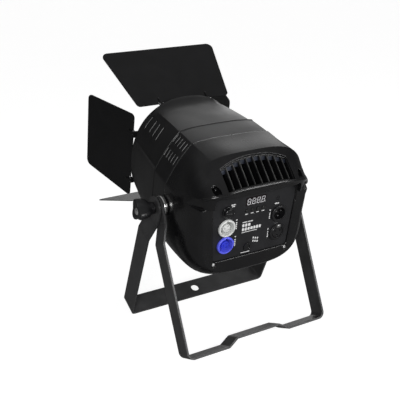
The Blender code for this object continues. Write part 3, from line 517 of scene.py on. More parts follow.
def round_ears(bm, width):
    """Round the two corners at the top of each ear."""
    corners = []
    for edge in bm.edges:
        ends = [vert.co for vert in edge.verts]
        at_top = all(co.z > width / 2 - 0.01 for co in ends)
        if at_top and abs(ends[0].y - ends[1].y) < 0.01:
            corners.append(edge)
    bmesh.ops.bevel(bm, geom=corners, offset=width / 2 * 0.96, segments=16, affect="EDGES",
                    profile=0.5)


def bracket_mesh(name, width, ear_x, jog, arm_x, bend_r, rise=None):
    """A strip bent into a stand: ear, jog, arm and foot bar, mirrored about x = 0.

    The jog lies between two depths below the pivot. A rise lifts the middle of the foot bar between an outer
    and an inner x, by a height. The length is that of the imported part."""
    matrix = REAR if name == "rear_bracket" else FRONT
    reach = -min((matrix.inverted() @ Vector(v.co)).z for v in frame["nodes"][name].data.vertices) / MM
    foot_z = -reach + STRIP_T / 2
    half = [(ear_x, width / 2), (ear_x, -jog[0]), (arm_x, -jog[1]), (arm_x, foot_z)]
    radii = [JOG_R, JOG_R, bend_r]
    if rise:
        half += [(rise[0], foot_z), (rise[1], foot_z + rise[2])]
        radii += [RISE_R, RISE_R]
    points = half + [(-x, z) for x, z in reversed(half)]
    path = fillet_path(points, radii + radii[::-1])
    outline = offset_path(path, STRIP_T / 2) + offset_path(path, -STRIP_T / 2)[::-1]
    bm = prism([tuple(p) for p in outline], -width / 2, width / 2)
    round_ears(bm, width)
    mesh = to_mesh(name, bm)
    for side in (-1, 1):
        hole = x_turned([(STUD_HOLE_R, ear_x - 6), (STUD_HOLE_R, ear_x + 6)], side, 48)
        mesh = cut(mesh, hole)
    return mesh, matrix, reach


def build_brackets():
    mesh, matrix, _ = bracket_mesh("rear_bracket", width=27.0, ear_x=100.5, jog=(23.5, 49.0), arm_x=109.7,
                                   bend_r=8.5, rise=(48.5, 33.7, 8.8))
    piece("stand_rear_strip", mesh, M_BRACKET, "rear_bracket", matrix, "rear_bracket", bevel=0.35)
    mesh, matrix, reach = bracket_mesh("front_bracket", width=30.6, ear_x=105.5, jog=(19.5, 46.9),
                                       arm_x=114.4, bend_r=5.0)
    ends = (-reach - 5, -reach + 8)
    mesh = cut(mesh, solid([[(x, z, y) for x, y, z in circle(CLAMP_HOLE_R, end, 48)] for end in ends]))
    piece("stand_front_strip", mesh, M_BRACKET, "front_bracket", matrix, "front_bracket", bevel=0.35)


# ---------------------------------------------------------------- tilt hardware

# Turned profiles: radius, and place along x
BUSH_PROFILE = [(STUD_HOLE_R, 92.8), (13.2, 92.8), (13.7, 93.1), (14.8, 94.2), (15.0, 94.6), (15.0, 97.3),
                (14.8, 97.9), (14.2, 98.5), (13.8, 98.7), (STUD_HOLE_R, 98.7)]
WASHER_PROFILE = [(STUD_HOLE_R, 102.3), (11.7, 102.3), (12.0, 102.6), (12.0, 103.4), (11.7, 103.7),
                  (STUD_HOLE_R, 103.7)]
STUD_R = 4.0
THREAD_START = 81.0
THREAD_TURNS = 28
THREAD_PITCH = 0.9
THREAD_DEPTH = 0.45
KNOB_CAP_PROFILE = [(4.9, 130.6), (4.9, 132.5), (4.4, 133.2), (3.2, 133.7), (1.6, 134.0), (0.3, 134.1)]
# The knob along x: place, radius and how far its lobes swell there
KNOB_STATIONS = [(107.3, 7.4, 0.0), (107.9, 8.0, 0.0), (112.0, 8.3, 0.1), (114.5, 9.0, 0.35),
                 (116.8, 10.4, 0.75), (119.0, 11.4, 0.95), (124.0, 12.4, 1.0), (130.0, 13.1, 1.0),
                 (132.0, 13.2, 1.0), (133.1, 12.6, 1.0), (133.5, 11.6, 1.0), (133.5, 8.4, 0.7),
                 (132.7, 7.9, 0.6), (132.4, 4.9, 0.0)]
LOBES = 3
LOBE_SWELL = 0.24


def knob_mesh(side):
    """A three-lobed hand knob that flares outwards from a round neck."""
    rings = []
    turns = [2 * math.pi * i / 96 for i in range(96)]
    for x, radius, swell in KNOB_STATIONS:
        ring = []
        for angle in turns:
            lobe = math.cos(LOBES * angle)
            reach = radius * (1 + LOBE_SWELL * swell * (lobe + 0.18 * (lobe * lobe - 0.5)))
            ring.append((side * x, reach * math.cos(angle), reach * math.sin(angle)))
        rings.append(ring)
    return solid(rings)


def stud_profile():
    """A threaded stud with a plain shank inside the knob."""
    profile = [(STUD_R - 0.8, THREAD_START - 1.0), (STUD_R, THREAD_START - 0.2)]
    for i in range(THREAD_TURNS):
        x = THREAD_START + i * THREAD_PITCH
        profile += [(STUD_R, x), (STUD_R - THREAD_DEPTH, x + THREAD_PITCH / 2)]
    return profile + [(STUD_R, 106.4), (STUD_R, 118.6)]


def build_tilt_hardware():
    for side, word in ((1, "left"), (-1, "right")):
        piece(f"boss_{word}", x_turned(BUSH_PROFILE, side, 72, True), M_ZINC, f"pivot_bush_{word}")
        piece(f"grip_washer_{word}", x_turned(WASHER_PROFILE, side, 48, True), M_RUBBER,
              f"friction_washer_{word}", REAR, "rear_bracket")
        knob = f"knob_{word}"
        piece(f"stud_{word}", x_turned(stud_profile(), side, 40), M_ZINC, f"tilt_stud_{word}", HEAD,
              knob)
        mesh = cut(to_mesh("knob", knob_mesh(side)), x_turned([(4.3, 100.0), (4.3, 119.3)], side, 40))
        piece(f"hand_knob_{word}", mesh, M_KNOB, f"tilt_knob_{word}", HEAD, knob, smooth=40.0)
        piece(f"knob_cap_{word}", x_turned(KNOB_CAP_PROFILE, side, 40), M_ZINC, body=knob)


# ---------------------------------------------------------------- body shell

RIM_Y = -127.9
STEP_Y = -41.0
STEP_H = 2.0
SEAM_Y = -3.0
SEAM_GROOVE = 1.4
# The body along the head: place, half width, height above and below the axis, power of the oval
BODY_KEYS = (
    (RIM_Y, 82.5, 88.8, 82.5, 2.3),
    (-80.0, 87.0, 90.4, 81.8, 2.9),
    (STEP_Y, 90.0, 90.8, 80.5, 3.4),
    (SEAM_Y, 91.6, 91.5, 80.0, 3.5),
    (35.0, 91.2, 91.5, 78.8, 3.5),
    (56.0, 89.0, 91.5, 77.0, 3.4),
    (67.0, 85.0, 91.5, 73.8, 3.3),
    (74.5, 79.5, 91.5, 69.6, 3.2),
    (78.5, 72.5, 91.5, 64.3, 3.1),
)
# How much squarer the lower half of the oval is than the upper half
LOWER_SQUARE = 1.5
# Polar angles over which the flattened corner starts and ends, and how flat it is at most
SIDE_CREASE = (19.6, 21.4)
TOP_CREASE = (56.2, 57.8)
FLATNESS = 0.72
# Places along the head between which that flatness grows and, further back, fades
FLAT_GROWS = (RIM_Y, -104.0)
FLAT_FADES = (0.0, 48.0)
# Places between which the front sheet's lowered upper part reaches its depth
STEP_GROWS = (RIM_Y, -116.0)
HOUSING_T = 2.4
# Places of the shells' rings along the head
HOUSING_RINGS = (RIM_Y, RIM_Y + 0.5, -125.0, -122.0, -118.0, -113.0, -108.0, -102.0, -95.0, -88.0, -80.0,
                 -72.0, -64.0, -56.0, -49.0, STEP_Y - 1.1)
STEP_RINGS = (-34.0, -26.0, -18.0, -10.0, SEAM_Y - 1.2)
INNER_RINGS = (SEAM_Y - GAP, -22.0, -41.0, -60.0, -80.0)
COVER_RINGS = (4.0, 12.0, 20.0, 28.0, 35.0, 40.0, 44.2)
HOOD_RINGS = (45.0, 45.8, 48.0, 52.0, 56.0, 60.0, 64.0, 67.0, 70.0, 72.5, 74.5, 76.5, 78.5, 81.0, 84.0,
              88.0)
COVER_T = 3.0
COVER_SWELL = 0.8
COVER_REACH = 92.0
# How far the cover's lower half leans back for each millimetre below the axis
REAR_SHEAR = 0.094
# Places between which that lean grows
LEAN_GROWS = (20.0, 65.0)
# The cavity of the cover: place, height above the axis, power of the oval
COVER_CAVITY = ((70.5, 52.0, 2.7), (60.0, 68.0, 2.7), (50.0, 76.0, 2.7), (40.0, 86.0, 3.2),
                (30.0, 91.5, 3.5), (SEAM_Y, 91.5, 3.5))
HOOD_TOP = (45.0, 91.5)
HOOD_LIP = (85.0, 63.0)
# The hood along the head: place, half width, height, power of the oval
HOOD_KEYS = (
    (45.0, 90.3, 91.5, 3.5),
    (56.0, 88.7, 83.7, 3.3),
    (67.0, 86.2, 75.8, 3.3),
    (78.0, 82.0, 68.0, 3.6),
    (88.0, 76.0, 60.9, 3.7),
)
# Polar angles between which the body's section turns into the hood's
HOOD_ANGLES = (17.0, 27.0)
VISOR_Z = 36.0
VISOR_EDGE_Z = 51.5
VISOR_BOW = 15.0
LIP_REACH = 78.6
LIP_R = 2.6
LIP_SINK = 1.5
LIP_STEPS = 80
CROWN_DROP = 21.7
CROWN_HALF_W = 78.0
FIN_COUNT = 9
FIN_PITCH = 10.4
FIN_T = 1.8
FIN_RIB_W = 0.8
FIN_RIB_H = 0.3
FIN_FOOT = 45.2
VENT_HALF_W = 50.0
VENT_FOOT = 46.6
VENT_DEPTH = 2.0
VENT_TOP = 6.5
VENT_ARCH = 8.6
# How far the openings between the fins start below the vent's top edge
OPENING_SETBACK = 1.2
SLOT_DEPTH = 17.0
# Width of the strip of painted highlight along a slot's edge
SLOT_HIGHLIGHT_T = 0.5
# Depths below the wall between which the pale strip of painted highlight along a slot's edge lies
SLOT_HIGHLIGHT_DEPTH = (0.15, 0.8)
# How far a slot's cutter passes the wall, inwards and outwards
SLOT_CUT = (12.0, 6.0)
# Half the size of cutters that pass the whole head
FAR = 130.0
# Housing slots: place along the head, half width and the polar angles of the ends
HOUSING_SLOTS = [(-117.0 + 13.2 * i, 1.5, 36.5, 51.0) for i in range(4)]
for slot_ends in ((34.0, 42.5), (46.5, 54.5)):
    HOUSING_SLOTS += [(-37.0 + 7.0 * i, 1.3, *slot_ends) for i in range(5)]
WELL_Y = 61.8
HOOD_SCREWS = ((-62.8, 61.3), (62.8, 61.3))
RIM_SCREWS = ((-56.5, -50.8), (56.5, -50.8))
RIM_SEAT = -0.6


def smoothstep(value, low, high):
    share = max(0.0, min(1.0, (value - low) / (high - low)))
    return share * share * (3 - 2 * share)


def ring_angles():
    """The polar angles of a ring's points: every third degree, and the ends of each crease."""
    marks = set(float(a) for a in range(0, 360, 3))
    for a in SIDE_CREASE + TOP_CREASE:
        marks |= {a, 180.0 - a}
    return sorted(marks)


ANGLES = ring_angles()


def between_keys(keys, y):
    """The values of a table of keys at y, on a smooth curve through its rows."""
    if y <= keys[0][0]:
        return keys[0][1:]
    for i in range(len(keys) - 1):
        low, high = keys[i], keys[i + 1]
        if y > high[0]:
            continue
        before, after = keys[max(0, i - 1)], keys[min(len(keys) - 1, i + 2)]
        span = high[0] - low[0]
        t = (y - low[0]) / span
        values = []
        for k in range(1, len(low)):
            m0 = (high[k] - before[k]) / (high[0] - before[0]) * span
            m1 = (after[k] - low[k]) / (after[0] - low[0]) * span
            values.append((2 * t**3 - 3 * t**2 + 1) * low[k] + (t**3 - 2 * t**2 + t) * m0
                          + (3 * t**2 - 2 * t**3) * high[k] + (t**3 - t**2) * m1)
        return tuple(values)
    return keys[-1][1:]


def section_radius(angle, section, inset=0.0):
    half, top, bottom, power = section
    upper = math.sin(angle) > 0
    rise = (top if upper else bottom) - inset
    if not upper:
        power = 2 + (power - 2) * LOWER_SQUARE
    across = abs(math.cos(angle) / (half - inset)) ** power
    return (across + abs(math.sin(angle) / rise) ** power) ** (-1 / power)


def chord_radius(angle, first, second, section, inset):
    """Distance along a ray to the straight line between two points of the section."""
    ends = []
    for a in (first, second):
        a = math.radians(a)
        r = section_radius(a, section, inset)
        ends.append((r * math.cos(a), r * math.sin(a)))
    (x0, z0), (x1, z1) = ends
    dx, dz = x1 - x0, z1 - z0
    return (x0 * dz - z0 * dx) / (math.cos(angle) * dz - math.sin(angle) * dx)


def facet_share(y):
    """How flat the upper corners are at a place along the head."""
    return FLATNESS * smoothstep(y, *FLAT_GROWS) * (1 - smoothstep(y, *FLAT_FADES))


def wall_radius(degrees, y, section, inset=0.0, step=0.0, facets=True):
    """Distance from the axis to the body's wall. Its upper corners are flattened.

    A step lowers the wall above the side creases."""
    share = facet_share(y) if facets else 0.0
    side_end, top_end = SIDE_CREASE[0], TOP_CREASE[0]
    radius = section_radius(math.radians(degrees), section, inset)
    turn = degrees if degrees <= 90 else 180 - degrees
    if not 0 < degrees < 180:
        return radius
    fold = math.radians(turn)
    if side_end < turn < top_end:
        flat = chord_radius(fold, side_end, top_end, section, inset)
        radius += (flat - radius) * share
    elif turn >= top_end:
        flat = chord_radius(fold, top_end, 180 - top_end, section, inset)
        radius += (flat - radius) * share * 0.5
    return radius - step * smoothstep(turn, *SIDE_CREASE)


def ring_of(y, radii, shear=0.0):
    """A ring of points at the given radii. Below the axis, a shear carries it back."""
    ring = []
    for degrees, radius in zip(ANGLES, radii):
        angle = math.radians(degrees)
        x, z = radius * math.cos(angle), radius * math.sin(angle)
        ring.append((x, y - shear * min(z, 0.0), z))
    return ring


def body_ring(y, inset=0.0, step=0.0, shear=0.0, section=None, facets=True):
    """One ring of the body."""
    section = section or between_keys(BODY_KEYS, y)
    return ring_of(y, [wall_radius(degrees, y, section, inset, step, facets) for degrees in ANGLES], shear)


def hood_ring(y, inset):
    """One ring of the rear cover: the hood's section above, the body's section at the sides and below."""
    half, top, power = between_keys(HOOD_KEYS, y)
    hood, body = (half, top, top, power), between_keys(BODY_KEYS, y)
    radii = []
    for degrees in ANGLES:
        angle = math.radians(degrees)
        turn = min(degrees, 180 - degrees) if degrees <= 180 else -1.0
        radius = section_radius(angle, body, inset)
        radius += (section_radius(angle, hood, inset) - radius) * smoothstep(turn, *HOOD_ANGLES)
        radii.append(radius)
    return ring_of(y, radii, rear_lean(y))


def polar_section(side, degrees, corners):
    """Points of a section at a polar angle: corners holds (y, radius) pairs."""
    angle = math.radians(degrees)
    return [(side * radius * math.cos(angle), y, radius * math.sin(angle)) for y, radius in corners]


def angled_slot(bm, middle, half_width, start, end, side, steps=6):
    """A slot through the body's wall between two polar angles, with narrower ends."""
    rings = []
    section = between_keys(BODY_KEYS, middle)
    for i in range(steps + 1):
        degrees = start + (end - start) * i / steps
        reach = section_radius(math.radians(degrees), section)
        half = half_width * (1.0 if 0 < i < steps else 0.45)
        low, high = reach - SLOT_CUT[0], reach + SLOT_CUT[1]
        rings.append(polar_section(side, degrees, [(middle - half, low), (middle + half, low),
                                                   (middle + half, high), (middle - half, high)]))
    skin(bm, rings)


def slot_highlight(bm, y, start, end, side, steps=6):
    """A pale strip just inside a slot's forward side: a painted highlight where the light catches the slot's edge.
    """
    step = STEP_H if y < STEP_Y else 0.0
    front, back = y - 0.05, y + SLOT_HIGHLIGHT_T
    rings = []
    for i in range(steps + 1):
        degrees = start + (end - start) * (0.06 + 0.88 * i / steps)
        reach = wall_radius(degrees, y, between_keys(BODY_KEYS, y), 0.0, step)
        high, low = (reach - depth for depth in SLOT_HIGHLIGHT_DEPTH)
        rings.append(polar_section(side, degrees, [(front, low), (back, low), (back, high), (front, high)]))
    skin(bm, rings)


def stud_holes():
    bm = bmesh.new()
    for side in (-1, 1):
        x_turned([(STUD_HOLE_R + 0.8, 76.0), (STUD_HOLE_R + 0.8, 100.0)], side, 40, bm=bm)
    return bm


def build_front_housing():
    outer = []
    for y in HOUSING_RINGS:
        edge = 0.5 if y == RIM_Y else 0.0
        outer.append(body_ring(y, inset=edge, step=STEP_H * smoothstep(y, *STEP_GROWS)))
    # The bead where the lowered front sheet meets the rest
    outer += [body_ring(STEP_Y, inset=0.1), body_ring(STEP_Y + 0.4, inset=-0.6),
              body_ring(STEP_Y + 1.4, inset=-0.6), body_ring(STEP_Y + 2.0)]
    outer += [body_ring(y) for y in STEP_RINGS]
    outer.append(body_ring(SEAM_Y - GAP, inset=SEAM_GROOVE))
    inner = [body_ring(y, inset=HOUSING_T + STEP_H) for y in INNER_RINGS]
    # The round front opening and the seat behind it
    for radius, y in ((76.5, -124.9), (66.0, -124.9), (66.0, RIM_Y)):
        inner.append(ring_of(y, [radius] * len(ANGLES)))
    mesh = to_mesh("front_shell", solid(outer + inner, closed=True))
    # edges holds pale strips of painted highlight along the slots' forward edges
    slots, edges = bmesh.new(), bmesh.new()
    for side in (-1, 1):
        for y, half, start, end in HOUSING_SLOTS:
            angled_slot(slots, y, half, start, end, side)
            slot_highlight(edges, y - half, start, end, side)
    mesh = cut(cut(mesh, slots), stud_holes())
    piece("front_shell", mesh, M_HOUSING, "front_housing", smooth=24.0)
    piece("slot_highlights", edges, M_SLOT_HIGHLIGHT)


def rear_lean(y):
    """The shear of a ring of the cover, which grows towards the back."""
    start, end = LEAN_GROWS
    return REAR_SHEAR * max(0.0, min(1.0, (y - start) / (end - start)))


def slope_point(x, along, out=0.0):
    """A point at a distance down the hood from its crease, and out from its crowned surface."""
    down = (Vector(HOOD_LIP) - Vector(HOOD_TOP)).normalized()
    normal = Vector((-down.y, down.x))
    crown = CROWN_DROP * (abs(x) / CROWN_HALF_W) ** 4
    point = Vector(HOOD_TOP) + down * along + normal * out
    return (x, point.x, point.y - crown)


def slope_prism(bm, corners, places):
    """Skin a (distance down the hood, distance out) outline through the given places along x."""
    return skin(bm, [[slope_point(x, along, out) for along, out in corners] for x in places])


def head_space(bm):
    """Move a tool that was modelled in the panel's frame into the head's frame."""
    change = HEAD.inverted() @ PANEL
    for vert in bm.verts:
        vert.co = (change @ (vert.co * MM)) / MM
    return bm


def panel_outline(grow, radius=4.0):
    """The panel's outline, which widens towards the top, grown all round."""
    corners = [(-57.7 - grow, -46.1 - grow), (57.7 + grow, -46.1 - grow),
               (63.7 + grow, 45.0 + grow), (-63.7 - grow, 45.0 + grow)]
    return rounded(corners, radius, 6)


def vent_edge(x):
    """Distance down the hood of the vent's arched top edge."""
    return VENT_TOP + VENT_ARCH * (x / VENT_HALF_W) ** 2


def vent_recess():
    """A shallow pocket with an arched top, whose floor follows the hood's crown."""
    steps = 30
    rings = []
    for i in range(steps + 1):
        x = VENT_HALF_W * (2 * i / steps - 1)
        edge = vent_edge(x)
        corners = ((edge, -VENT_DEPTH), (VENT_FOOT, -VENT_DEPTH), (VENT_FOOT + 1.0, 12.0),
                   (edge - 6.0, 12.0))
        rings.append([slope_point(x, along, out) for along, out in corners])
    return solid(rings)


def vent_openings():
    """The sides and the top edge of each opening between the fins."""
    half = (FIN_PITCH - FIN_T) / 2
    limit = VENT_HALF_W - 1.0
    for i in range(FIN_COUNT + 1):
        centre = (i - FIN_COUNT / 2) * FIN_PITCH
        sides = (max(centre - half, -limit), min(centre + half, limit))
        yield sides, vent_edge(max(abs(x) for x in sides)) + OPENING_SETBACK


def vent_slots():
    """The openings between the fins, cut down into the hollow."""
    bm = bmesh.new()
    for sides, top in vent_openings():
        corners = ((top, -SLOT_DEPTH), (FIN_FOOT, -SLOT_DEPTH), (FIN_FOOT, 6.0), (top, 6.0))
        slope_prism(bm, corners, sides)
    return bm


def build_fin_trim():
    """A fine raised rib along each fin, whose pale colour is a painted highlight, and the guide plates seen at the
    top of each opening.
    """
    ribs, plates = bmesh.new(), bmesh.new()
    for i in range(FIN_COUNT):
        centre = (i - (FIN_COUNT - 1) / 2) * FIN_PITCH
        ends = (vent_edge(abs(centre)) + OPENING_SETBACK + 1.0, FIN_FOOT - 0.5)
        low, high = -VENT_DEPTH - FIN_RIB_H, -VENT_DEPTH + FIN_RIB_H
        corners = ((ends[0], low), (ends[1], low), (ends[1], high), (ends[0], high))
        slope_prism(ribs, corners, (centre - FIN_T / 2, centre - FIN_T / 2 + FIN_RIB_W))
    for sides, top in vent_openings():
        corners = ((top, -VENT_DEPTH - 1.6), (top + 4.2, -VENT_DEPTH - 4.6), (top + 3.9, -VENT_DEPTH - 5.1),
                   (top, -VENT_DEPTH - 2.3))
        slope_prism(plates, corners, sides)
    # The ribs' pale colour is a painted highlight
    piece("fin_ribs", ribs, M_FIN_HIGHLIGHT)
    piece("vent_guides", plates, M_GUIDE)


def visor_cutter():
    """Trims the visor's face, which bows out in the middle and turns in at its ends."""
    steps = 60
    face = []
    for i in range(steps + 1):
        x = COVER_REACH * (2 * i / steps - 1)
        face.append((x, visor_face(x)))
    outline = face + [(COVER_REACH, FAR), (-COVER_REACH, FAR)]
    return solid([[(x, y, z) for x, y in outline] for z in (VISOR_Z - 1.0, FAR)])


def visor_opening():
    """Clears the visor in front of the panel, up to its lower edge."""
    half, low = 64.4, 20.0
    corners = [(-half, low), (half, low), (half, VISOR_EDGE_Z), (-half, VISOR_EDGE_Z)]
    return head_space(prism(rounded(corners, (1.0, 1.0, 5.0, 5.0)), 0.7, 33.0))


def build_rear_cover():
    outer = [body_ring(SEAM_Y, inset=SEAM_GROOVE), body_ring(SEAM_Y + 1.0, inset=-COVER_SWELL + 0.3),
             body_ring(SEAM_Y + 1.6, inset=-COVER_SWELL)]
    outer += [body_ring(y, inset=-COVER_SWELL, shear=rear_lean(y)) for y in COVER_RINGS]
    outer += [hood_ring(y, -COVER_SWELL) for y in HOOD_RINGS]
    cavity = []
    for y, top, power in COVER_CAVITY:
        half, _, bottom, _ = between_keys(BODY_KEYS, y)
        section = (half, top, bottom, power)
        cavity.append(body_ring(y, inset=COVER_T, shear=rear_lean(y), section=section, facets=y < 35.0))
    mesh = to_mesh("rear_shell", solid(cavity + outer))
    recess = [[(x, y, z) for x, z in panel_outline(grow, 4.0 + grow)]
              for y, grow in ((-1.8, 0.4), (1.0, 0.4), (2.4, 1.6), (30.0, 3.0))]
    below_visor = box((-FAR, 1.9, -FAR), (FAR, 40.0, VISOR_Z))
    through = prism(panel_outline(-4.0), -20.0, 1.0)
    tools = [visor_cutter(), head_space(below_visor), visor_opening(), head_space(solid(recess)),
             head_space(through), vent_recess(), vent_slots()]
    tools += [screw_well(46.0, WELL_Y, 4.6, 95.0, 40, place) for place in HOOD_SCREWS]
    tools += [head_space(screw_well(-12.0, RIM_SEAT, 3.6, 20.0, 32, place)) for place in RIM_SCREWS]
    for tool in tools + [stud_holes()]:
        mesh = cut(mesh, tool)
    piece("rear_shell", mesh, M_COVER, "rear_cover", smooth=24.0)
    build_fin_trim()
    build_visor_lip()


def screw_well(bottom, seat, radius, top, count, place):
    """The hole of a screw, wider above the seat of its head."""
    return turned([(1.8, bottom), (1.8, seat), (radius, seat), (radius, top)], count, place)


def visor_face(x):
    """How far back the visor's face lies at a distance from the middle."""
    return HOOD_LIP[0] - VISOR_BOW * (abs(x) / CROWN_HALF_W) ** 6


def build_visor_lip():
    """The rolled edge where the hood turns down into the visor's face."""
    path = []
    for i in range(LIP_STEPS + 1):
        x = LIP_REACH * math.sin(math.pi * (i / LIP_STEPS - 0.5))
        y = visor_face(x)
        half, top, power = between_keys(HOOD_KEYS, y)
        z = top * (1 - (abs(x) / half) ** power) ** (1 / power)
        path.append(Vector((x, y - LIP_SINK, z - LIP_SINK)))
    rings = []
    for i, centre in enumerate(path):
        along = (path[min(i + 1, LIP_STEPS)] - path[max(i - 1, 0)]).normalized()
        up = (Vector((0, 0, 1)) - along * along.z).normalized()
        out = along.cross(up)
        radius = LIP_R * min(1.0, 0.25 + 0.15 * min(i, LIP_STEPS - i))
        rings.append([centre + radius * (math.cos(a) * up + math.sin(a) * out)
                      for a in (2 * math.pi * k / 20 for k in range(20))])
    piece("visor_lip", solid(rings), M_LIP, smooth=60.0)


def screw_mesh(x, z, seat, radius, height):
    """A pan head screw with a cross recess."""
    low = seat + GAP
    profile = [(0.4, seat - 6.0), (1.4, seat - 5.0), (1.4, low), (radius * 0.96, low)]
    for i in range(9):
        a = math.pi / 2 * i / 8
        profile.append((radius * (0.45 + 0.55 * math.cos(a)), low + height * (0.35 + 0.65 * math.sin(a))))
    profile.append((0.05, low + height * 1.01))
    mesh = to_mesh("screw", turned(profile, 40, (x, z)))
    top, arm, half = low + height, radius * 0.5, radius * 0.12
    mesh = cut(mesh, box((x - arm, top - height * 0.5, z - half), (x + arm, top + 1.0, z + half)))
    return cut(mesh, box((x - half, top - height * 0.5, z - arm), (x + half, top + 1.0, z + arm)))


def build_screws():
    for height, places, matrix, sizes in (("upper", HOOD_SCREWS, HEAD, (WELL_Y, 3.6, 2.4)),
                                          ("lower", RIM_SCREWS, PANEL, (RIM_SEAT, 3.1, 2.2))):
        for side, (x, z) in zip(("right", "left"), places):
            piece(f"pan_screw_{height}_{side}", screw_mesh(x, z, *sizes), M_SCREW,
                  f"cover_screw_{height}_{side}", matrix)


# ---------------------------------------------------------------- optics and cooling

LENS_R = 64.0
LENS_Y = -128.7
LENS_SAG = 6.3
# Turned profiles: radius, and place along the head
LENS_RIM = [(68.6, -122.4), (69.0, -122.0), (69.0, -119.1), (68.6, -118.8)]
RETAINER = [(62.5, -118.4), (74.7, -118.4), (75.0, -118.1), (75.0, -115.5), (62.5, -115.5)]
HOLDER = [(63.0, -125.2), (65.7, -125.2), (65.7, -128.2), (69.7, -128.2), (69.7, -130.1), (73.2, -130.1),
          (73.5, -130.4), (73.5, -131.3), (73.2, -131.6), (63.3, -131.6), (63.0, -131.3)]
LED_DAM = [(11.6, -64.3), (14.0, -64.3), (14.0, -65.2), (13.6, -65.4), (12.0, -65.4), (11.6, -65.2)]
LED_DISC = [(11.3, -64.2), (11.3, -64.9), (10.6, -65.0), (0.4, -65.0)]


def build_optics():
    lens = [(0.6, LENS_Y)]
    for i in range(1, 15):
        r = LENS_R * i / 14
        lens.append((r, LENS_Y + LENS_SAG * (r / LENS_R) ** 2))
    piece("lens_disc", turned(lens + LENS_RIM, 96), M_GLASS, "front_lens")
    piece("lens_clamp_ring", turned(RETAINER, 72, closed=True), M_TRIM, "lens_retainer")
    piece("filter_frame_ring", turned(HOLDER, 96, closed=True), M_TRIM, "accessory_holder")
    build_reflector()
    base = box((-22.0, -64.0, -22.0), (22.0, -62.0, 22.0))
    piece("led_base", base, M_BOARD, "led_module", bevel=0.3)
    piece("led_dam", turned(LED_DAM, 64, closed=True), M_BOARD)
    piece("led_disc", turned(LED_DISC, 64), M_LED)


BOWL_ROWS = 14
BOWL_CELLS = 40
BOWL_T = 1.3
BOWL_NECK_R = 17.0
BOWL_FLARE = 43.5
BOWL_BACK_Y = -66.3
BOWL_DEPTH = 48.7
BOWL_POWER = 0.62


def bowl_ring(row, grow=0.0, phase=0.0):
    """A ring of the reflector's bowl, which opens forwards from the LED to the lens."""
    share = row / BOWL_ROWS
    radius = BOWL_NECK_R + BOWL_FLARE * share ** BOWL_POWER + grow
    return circle(radius, BOWL_BACK_Y - BOWL_DEPTH * share, BOWL_CELLS, phase=phase)


def build_reflector():
    """A faceted spun reflector: flat cells in rows that step round by half a cell."""
    bm = bmesh.new()
    inner = [bowl_ring(i, phase=math.pi / BOWL_CELLS * (i % 2)) for i in range(BOWL_ROWS + 1)]
    outer = [bowl_ring(i, BOWL_T) for i in (BOWL_ROWS, BOWL_ROWS // 2, 0)]
    loops, shell = ([[bm.verts.new(point) for point in ring] for ring in rings] for rings in (inner, outer))
    around = [(k, (k + 1) % BOWL_CELLS) for k in range(BOWL_CELLS)]
    for i, (low, high) in enumerate(zip(loops, loops[1:])):
        for k, j in around:
            # Every other ring is turned by half a cell, so the cells' diagonals alternate
            bm.faces.new((low[k], low[j], high[j if i % 2 else k]))
            bm.faces.new((low[k if i % 2 else j], high[j], high[k]))
    stack = [loops[-1], *shell, loops[0]]
    for low, high in zip(stack, stack[1:]):
        for k, j in around:
            bm.faces.new((low[k], low[j], high[j], high[k]))
    piece("reflector_bowl", bm, M_MIRROR, "reflector", smooth=1.0)


SINK_PITCH = 9.0
SINK_FIN_T = 2.2
SINK_SIDE_FINS = 6
SINK_R = 62.0
# The front of the base, the floor between the fins and the fins' tips
SINK_Y = (-61.7, -56.5, -22.0)
FAN_SIZE = 92.0
BLADES = 7
BLADE_ROOT = 14.5
BLADE_SPAN = 27.5


def build_sink():
    """Plate fins on a base, trimmed to a round outline."""
    base, floor, tips = SINK_Y
    half = SINK_FIN_T / 2
    edge = SINK_SIDE_FINS * SINK_PITCH + half
    outline = [(-edge, base), (edge, base)]
    for i in range(SINK_SIDE_FINS, -SINK_SIDE_FINS - 1, -1):
        x = i * SINK_PITCH
        outline += [(x + half, tips), (x - half, tips)]
        if i > -SINK_SIDE_FINS:
            outline += [(x - half, floor), (x - SINK_PITCH + half, floor)]
    mesh = to_mesh("sink", solid([[(x, y, z) for x, y in outline] for z in (-SINK_R, SINK_R)]))
    mesh = cut(mesh, turned([(SINK_R, -70.0), (SINK_R, -10.0)], 72), "INTERSECT")
    piece("sink_fins", mesh, M_SINK, "heat_sink", bevel=0.25)


def build_fan():
    """A square fan: a case with a cross of stays behind a hub, and a wheel of swept blades."""
    mesh = to_mesh("fan", prism(rounded(rectangle(0, 0, FAN_SIZE, FAN_SIZE), 5.0, 6), -18.0, 7.0))
    mesh = cut(mesh, turned([(44.0, -20.0), (44.0, 9.0)], 80))
    for part in (box((-45.0, 4.0, -2.0), (45.0, 6.6, 2.0)), box((-2.0, 4.1, -45.0), (2.0, 6.5, 45.0)),
                 turned([(18.0, 3.6), (18.0, 6.9)], 48)):
        mesh = cut(mesh, part, "UNION")
    piece("fan_case", mesh, M_FAN, "fan_frame")
    hub = to_mesh("rotor", turned([(15.2, -16.2), (16.4, -15.8), (17.0, -15.0), (17.0, 3.0)], 64))
    blades = bmesh.new()
    for i in range(BLADES):
        add_blade(blades, 2 * math.pi * i / BLADES)
    piece("fan_wheel", cut(hub, blades, "UNION"), M_FAN, "fan_rotor", HEAD, "fan_rotor")


